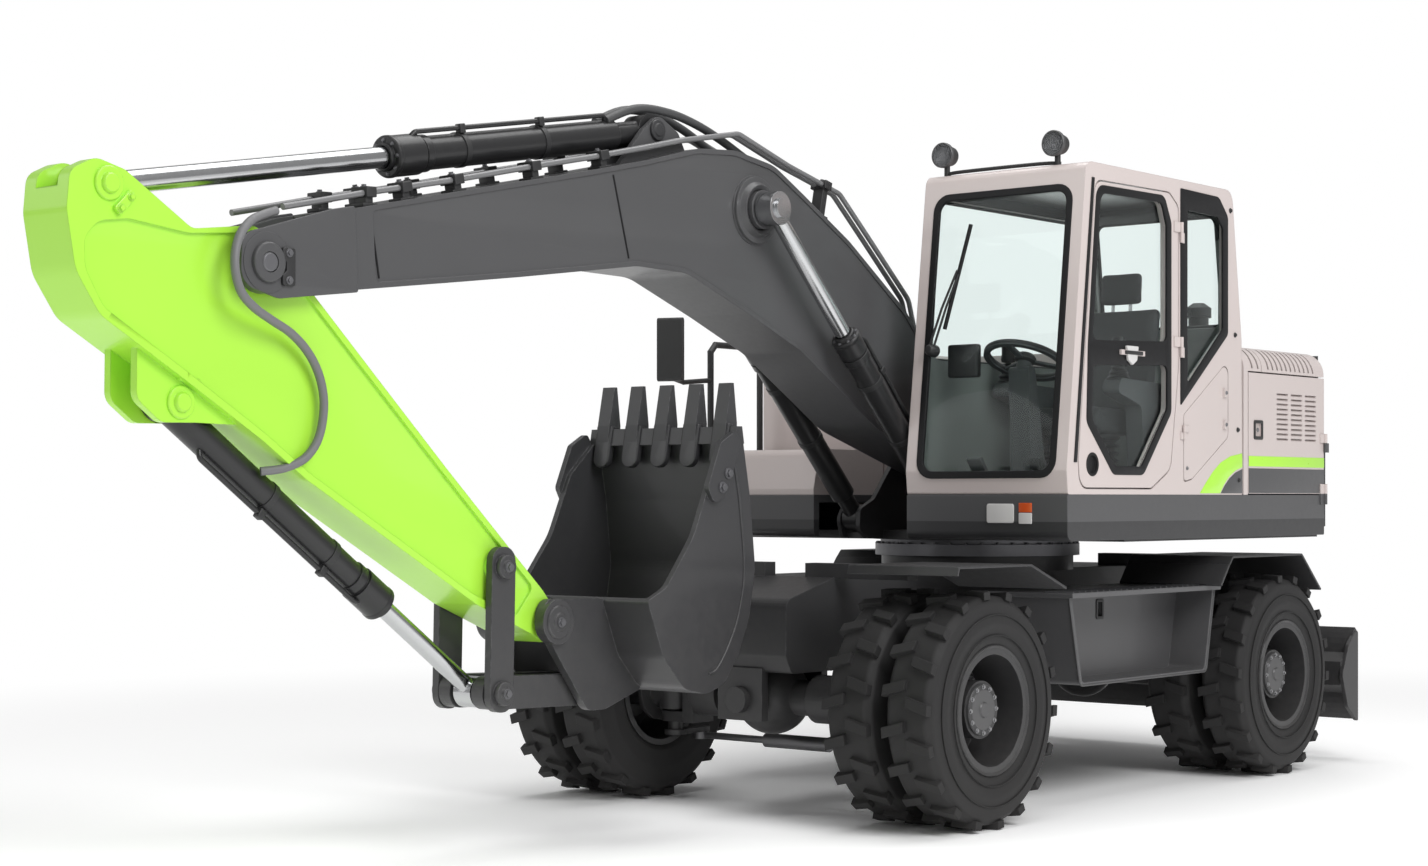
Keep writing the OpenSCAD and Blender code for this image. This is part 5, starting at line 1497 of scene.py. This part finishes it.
@dataclass
class Arm:
    """Arm with set-back webs, pin keepers and the hose from the boom."""
    finish: Palette
    half: float = 0.125
    sink: float = 0.014
    web: Corners = (
        (-0.2430, 0.1440, 0.08), (-0.2830, 0.1917, 0.08), (-0.2840, 0.2330, 0.07), (-0.2480, 0.2700, 0.10),
        (-0.1800, 0.2920, 0.10), (0.0300, 0.2490, 0.20), (0.2183, 0.2125, 0.0), (0.3433, 0.1955, 0.30),
        (0.8000, 0.0930, 0.10), (0.9250, 0.0500, 0.03), (0.9250, -0.0270, 0.03), (0.5912, -0.0295, 0.0),
        (0.3412, -0.0345, 0.30), (0.1168, -0.0395, 0.20), (0.0300, -0.0530, 0.09), (-0.0450, -0.0310, 0.06),
        (-0.1394, 0.0700, 0.20))
    rocker_boss: Flat = (0.8183, 0.0102)
    keeper_reach: float = 0.088
    hose_line: tuple[Point, ...] = (
        (4.850, 0.147, 2.503), (4.915, 0.150, 2.482), (4.985, 0.166, 2.452), (5.048, 0.186, 2.398),
        (5.086, 0.204, 2.328), (5.091, 0.212, 2.254), (5.062, 0.210, 2.186), (4.996, 0.199, 2.138),
        (4.900, 0.182, 2.098), (4.800, 0.168, 2.058), (4.715, 0.158, 1.998), (4.655, 0.152, 1.920),
        (4.627, 0.150, 1.830), (4.630, 0.148, 1.740), (4.655, 0.144, 1.660), (4.705, 0.134, 1.600),
        (4.768, 0.112, 1.568), (4.815, 0.093, 1.557), (4.860, 0.070, 1.552))

    def build(self) -> None:
        """Makes the arm's own pieces."""
        self.skin()
        self.pins()
        self.hose()

    def skin(self) -> None:
        """Arm with its webs set back between the flange edges."""
        outline = rounded([(*on_arm(a, b), r) for a, b, r in self.web], 8)
        island = ring(on_arm(*self.rocker_boss), 0.060, 40)
        pockets = [plate_mesh("pocket", [outline, island], 0.1, 0.0001, side_plane(self.half - self.sink, side))
                   for side in Side]
        skin = keep("arm_skin", carve(node_copy("arm"), pockets), "arm", self.finish.green)
        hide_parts("arm")

    def pins(self) -> None:
        """Pin ends with keepers at the heel and at the bucket cylinder's foot, and the pin at the boom."""
        f = self.finish
        end = ((0, 0.024), (0.030, 0.024), (0.034, 0.020), (0.036, 0.010), (0.056, 0.010), (0.060, 0.006),
               (0.060, -0.004))
        corners = ((-0.048, -0.020), (0.048, -0.020), (0.048, 0.016), (-0.048, 0.016))
        heads: list[tuple[Point, Point]] = []
        for name, (x, z), y, turn in (("heel_pin", HEEL_PIN, 0.125, -2.35),
                                      ("cylinder_foot_pin", BUCKET_CYLINDER_PIN, 0.092, 1.95)):
            cos, sin = math.cos(turn), math.sin(turn)
            kx, kz = x + self.keeper_reach * cos, z + self.keeper_reach * sin
            bar = rounded([(kx - sin * u + cos * v, kz + cos * u + sin * v, 0.006) for u, v in corners])
            for side in Side:
                s, tag = side.value, f"{name}_{side.tag}"
                turned(tag, end, (x, s * y, z), side.out, "arm", f.green)
                plate(tag + "_keeper", [bar], 0.018, 0.003, side_plane(y - 0.001, side), "arm", f.green, "arm_green")
                heads += [((kx - sin * u, s * (y + 0.017), kz + cos * u), side.out) for u in (-0.030, 0.030)]
        bolts("arm_keeper_bolts", heads, 0.011, "arm", f.green)
        pin = ((0, 0.202), (0.031, 0.202), (0.036, 0.197), (0.036, 0.125), (0.086, 0.123), (0.088, 0.105), (0, 0.105))
        for side in Side:
            turned(f"arm_tip_pin_{side.tag}", pin, (BOOM_TIP[0], 0.0, BOOM_TIP[1]), side.out, "arm", f.steel)

    def hose(self) -> None:
        """Hose round the boom's tip and over the arm's side to the bucket cylinder."""
        path = smooth_path(self.hose_line, 4)
        obj = strand("arm_hose", [path], 0.0165, "arm", self.finish.hose_pale, sides=16)
        obj.parent = None
        del obj["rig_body"]
        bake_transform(obj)


@dataclass(frozen=True)
class Ram:
    """Sizes of one kind of hydraulic cylinder.

    The pins foot and eye are in the side view, places lie across the machine, radius, gland and rod are radii, and
    the gland reaches from start to stop along the barrel.
    """
    name: str
    body: str
    foot: Flat
    eye: Flat
    places: tuple[float, ...]
    radius: float
    gland: float
    start: float
    stop: float
    rod: float


@dataclass
class Cylinders:
    """Glands, bolts, collars and side pipes of the hydraulic cylinders."""
    finish: Palette
    rams: tuple[Ram, ...] = (
        Ram("boom", "boom_barrels", (0.689, 1.352), LIFT_PIN, (-0.275, 0.275), 0.060, 0.068, 1.110, 1.205, 0.038),
        Ram("arm", "arm_barrel", ARM_CYLINDER_PIN, HEEL_PIN, (0.0,), 0.068, 0.082, 1.385, 1.535, 0.042),
        Ram("bucket", "bucket_barrel", BUCKET_CYLINDER_PIN, LINK_PIN, (0.0,), 0.060, 0.072, 1.130, 1.275, 0.036),
        Ram("blade", "blade_barrels", (-1.672, 0.985), (-1.790, 0.560), (-0.181, 0.181), 0.042, 0.048, 0.262, 0.300,
            0.024))
    small: float = 0.5

    def build(self) -> None:
        """Dresses every cylinder. A small one has only its gland."""
        for ram in self.rams:
            aim = Vector((ram.eye[0] - ram.foot[0], 0, ram.eye[1] - ram.foot[1])).normalized()
            for k, y in enumerate(ram.places):
                tag, base = f"{ram.name}_cylinder_{k}", Vector((ram.foot[0], y, ram.foot[1]))
                self.gland(tag, ram, base, aim)
                if ram.stop > self.small:
                    self.collar(tag, ram, base, aim)
                    self.pipe(tag, ram, base, aim)

    def gland(self, tag: str, ram: Ram, base: Vector, aim: Vector) -> None:
        """Adds the gland with its wiper ring.

        Args:
            tag: the cylinder's name.
            ram: its sizes.
            base: middle of its foot pin.
            aim: direction of the rod.
        """
        rod, gland, b = ram.rod, ram.gland, ram.stop
        line = ((rod + 0.0012, b - 0.002), (rod + 0.0012, b + 0.020), (rod + 0.008, b + 0.024),
                (rod + 0.014, b + 0.020), (rod + 0.015, b + 0.004), (gland * 0.93, b + 0.003),
                (gland + 0.002, b - 0.004), (gland + 0.002, b - 0.018), (gland + 0.0005, b - 0.022))
        turned(tag + "_gland", line, tuple(base), tuple(aim), ram.body, self.finish.barrel)

    def collar(self, tag: str, ram: Ram, base: Vector, aim: Vector) -> None:
        """Adds the collar behind the gland and the gland's bolts.

        Args:
            tag: the cylinder's name.
            ram: its sizes.
            base: middle of its foot pin.
            aim: direction of the rod.
        """
        r, a = ram.radius, ram.start
        line = ((r - 0.002, a - 0.050), (r + 0.007, a - 0.048), (r + 0.007, a - 0.012), (r - 0.002, a - 0.010))
        turned(tag + "_collar", line, tuple(base), tuple(aim), ram.body, self.finish.barrel)
        across, face = aim.cross(Vector(LEFTWARD)).normalized(), base + aim * (ram.stop + 0.003)
        heads = [(tuple(face + across * u + Vector(LEFTWARD) * v), tuple(aim))
                 for u, v in ring((0, 0), ram.gland * 0.80, 8)]
        bolts(tag + "_gland_bolts", heads, 0.0065, ram.body, self.finish.steel)

    def pipe(self, tag: str, ram: Ram, base: Vector, aim: Vector) -> None:
        """Adds the pipe along the barrel with its bands and saddles: on top, or below on the bucket's under the arm.

        Args:
            tag: the cylinder's name.
            ram: its sizes.
            base: middle of its foot pin.
            aim: direction of the rod.
        """
        f, r, a = self.finish, ram.radius, ram.start
        across = aim.cross(Vector(LEFTWARD)).normalized()
        up = across if (across.z > 0) != (ram.body == "bucket_barrel") else -across
        side = (up * 0.94 + Vector((0, 0.34 if base.y >= 0 else -0.34, 0))).normalized()
        start, stop = base + aim * (0.26 if r > 0.065 else 0.21), base + aim * (a + 0.03)
        line = (start + side * (r - 0.006), start + side * (r + 0.024) + aim * 0.012,
                stop - aim * 0.02 + side * (r + 0.024), stop + side * (ram.gland - 0.006))
        strand(tag + "_pipe", [bent_path([tuple(p) for p in line], 0.03)], 0.0105, ram.body, f.barrel, sides=12)
        band = ((r - 0.001, -0.014), (r + 0.004, -0.013), (r + 0.004, 0.013), (r - 0.001, 0.014))
        for share in (42, 80):
            spot = base + aim * (0.16 + (a - 0.16) * share / 100)
            turned(f"{tag}_band_{share}", band, tuple(spot), tuple(aim), ram.body, f.plastic)
            saddle = rounded_box("saddle", (-0.015, -0.016, -0.020), (0.015, 0.016, 0.018), 0.004)
            turn = aim.to_track_quat("X", "Z").to_matrix().to_4x4()
            saddle.transform(Matrix.Translation(spot + side * (r + 0.022)) @ turn)
            keep(f"{tag}_saddle_{share}", saddle, ram.body, f.plastic)


@dataclass
class BucketTrim:
    """Adapters, side welds, bolts and pin ends of the bucket and its links."""
    finish: Palette
    half: float = 0.425
    teeth: int = 5
    end_room: float = 0.085
    lip: Point = (2.512, 0, 1.70)
    lip_lean: float = -10.5
    side_edge: Outline = ((2.715, 0.705), (2.660, 0.725), (2.580, 0.825), (2.512, 0.960), (2.476, 1.150),
                          (2.508, 1.440), (2.545, 1.600))

    def build(self) -> None:
        """Makes every piece of the bucket."""
        f = self.finish
        step = 2 * (self.half - self.end_room) / (self.teeth - 1)
        lean = (Matrix.Translation(self.lip) @ Matrix.Rotation(math.radians(self.lip_lean), 4, "Y")
                @ Matrix.Translation((0, 0, -self.lip[2])))
        adapters = []
        for k in range(self.teeth):
            y = -self.half + self.end_room + k * step
            tongue = rounded([(y - 0.046, 1.585, 0.044), (y + 0.046, 1.585, 0.044), (y + 0.046, 1.775, 0.004),
                              (y - 0.046, 1.775, 0.004)])
            adapters.append(plate_mesh("adapter", [tongue], 0.034, 0.006, lean @ front_plane(0.0)))
        keep("tooth_adapters", merged("tooth_adapters", adapters), "bucket", f.bucket)
        lines, heads = [], []
        for side in Side:
            s = side.value
            lines.append(smooth_path([(x, s * (self.half + 0.001), z) for x, z in self.side_edge], 6))
            heads += [((x, s * (self.half + 0.022), z), side.out) for x, z in ((2.610, 1.560), (2.650, 1.500))]
        strand("bucket_side_welds", lines, 0.006, "bucket", f.bucket, sides=8)
        bolts("cutter_bolts", heads, 0.017, "bucket", f.steel)
        self.pin_ends()

    def pin_ends(self) -> None:
        """Bolted ends of the linkage pins."""
        f = self.finish
        for name, (x, z), y, r, body in (("rocker_pin", ROCKER_PIN, 0.182, 0.050, "side_links"),
                                         ("link_pin", LINK_PIN, 0.182, 0.050, "side_links"),
                                         ("bucket_pin", on_arm(1.0, 0.0), 0.195, 0.070, "bucket")):
            end = ((0, 0.014), (r * 0.50, 0.014), (r * 0.56, 0.008), (r * 0.92, 0.008), (r, 0.002), (r, -0.006))
            for side in Side:
                s, tag = side.value, f"{name}_{side.tag}"
                turned(tag, end, (x, s * y, z), side.out, body, f.bucket, turns=40)
                bolts(tag + "_bolt", [((x, s * (y + 0.014), z), side.out)], 0.015, body, f.steel)


@dataclass
class Studio:
    """Camera, floor and light."""
    eye: Point = (10.5829, 6.9565, 1.4532)
    heading: float = 0.690661
    lens: float = 60.504
    shift: float = 0.0457
    target: Point = (1.0, 0.0, 1.2)
    lamps: tuple[tuple[str, Point, float, float], ...] = (
        ("key", (4.2, 9.6, 8.6), 7.0, 900.0), ("fill", (10.0, -5.0, 6.0), 6.0, 110.0),
        ("top", (0.0, 0.0, 11.0), 9.0, 560.0))
    floor_size: float = 70.0
    floor_white: float = 1.2
    fade: Flat = (3.5, 9.5)
    sky_light: float = 0.40

    def build(self) -> None:
        """Sets the camera, the floor and the lamps."""
        bpy.context.scene.view_settings.view_transform = "Standard"
        self.camera()
        self.floor()
        self.world()
        for name, place, size, power in self.lamps:
            lamp = bpy.data.lights.new(name, "AREA")
            lamp.shape, lamp.size, lamp.energy = "DISK", size, power
            self.stand(bpy.data.objects.new(name, lamp), place, Vector(self.target) - Vector(place))

    @staticmethod
    def stand(obj: bpy.types.Object, place: Point, aim: Vector) -> None:
        """Puts a camera or lamp in the scene.

        Args:
            obj: the camera or lamp.
            place: where it stands.
            aim: where it looks.
        """
        obj.matrix_world = Matrix.Translation(place) @ aim.to_track_quat("-Z", "Y").to_matrix().to_4x4()
        bpy.context.scene.collection.objects.link(obj)

    def camera(self) -> None:
        """Level camera fitted to the photograph."""
        cam = bpy.data.cameras.new("camera")
        cam.sensor_width, cam.lens = 36.0, self.lens
        cam.shift_y = self.shift
        cam.clip_end = 200.0
        eye = bpy.data.objects.new("camera", cam)
        self.stand(eye, self.eye, Vector((-math.cos(self.heading), -math.sin(self.heading), 0.0)))
        bpy.context.scene.camera = eye

    def floor(self) -> None:
        """Pale floor that runs out into white."""
        bm = bmesh.new()
        bmesh.ops.create_grid(bm, x_segments=8, y_segments=8, size=self.floor_size)
        mesh = bpy.data.meshes.new("floor")
        bm.to_mesh(mesh)
        bm.free()
        obj = bpy.data.objects.new("floor", mesh)
        bpy.context.scene.collection.objects.link(obj)
        mat = bpy.data.materials.new("floor_pale")
        mat.use_nodes = True
        tree = mat.node_tree
        shader, out = tree.nodes["Principled BSDF"], tree.nodes["Material Output"]
        shader.inputs["Base Color"].default_value = (*(self.floor_white,) * 3, 1)
        shader.inputs["Roughness"].default_value = 0.6
        glow, mix, coord, reach, fade = (tree.nodes.new("ShaderNode" + kind) for kind in (
            "Emission", "MixShader", "TexCoord", "VectorMath", "MapRange"))
        reach.operation = "LENGTH"
        fade.interpolation_type = "SMOOTHSTEP"
        fade.inputs["From Min"].default_value, fade.inputs["From Max"].default_value = self.fade
        for start, end in ((coord.outputs["Object"], reach.inputs[0]), (reach.outputs["Value"], fade.inputs["Value"]),
                           (fade.outputs["Result"], mix.inputs["Fac"]), (shader.outputs["BSDF"], mix.inputs[1]),
                           (glow.outputs["Emission"], mix.inputs[2]), (mix.outputs["Shader"], out.inputs["Surface"])):
            tree.links.new(start, end)
        mesh.materials.append(mat)

    def world(self) -> None:
        """White surroundings, softer as light than as backdrop."""
        world = bpy.data.worlds.new("studio")
        bpy.context.scene.world = world
        world.use_nodes = True
        tree = world.node_tree
        back = tree.nodes["Background"]
        path, seen, mix = (tree.nodes.new("ShaderNode" + kind) for kind in ("LightPath", "Math", "MapRange"))
        seen.operation = "MAXIMUM"
        tree.links.new(path.outputs["Is Camera Ray"], seen.inputs[0])
        tree.links.new(path.outputs["Is Transmission Ray"], seen.inputs[1])
        tree.links.new(seen.outputs[0], mix.inputs["Value"])
        mix.inputs["To Min"].default_value, mix.inputs["To Max"].default_value = self.sky_light, 1.0
        back.inputs["Color"].default_value = (1, 1, 1, 1)
        tree.links.new(mix.outputs["Result"], back.inputs["Strength"])


def main() -> None:
    """Builds the studio and dresses the machine."""
    logging.basicConfig(level=logging.INFO)
    palette = Palette()
    Studio().build()
    palette.dress()
    for assembly in (CabTrim, Seat, BodyTrim, WheelTrim, ChassisTrim, Boom, Arm, Cylinders, BucketTrim):
        assembly(palette).build()


if __name__ == "__main__":
    main()
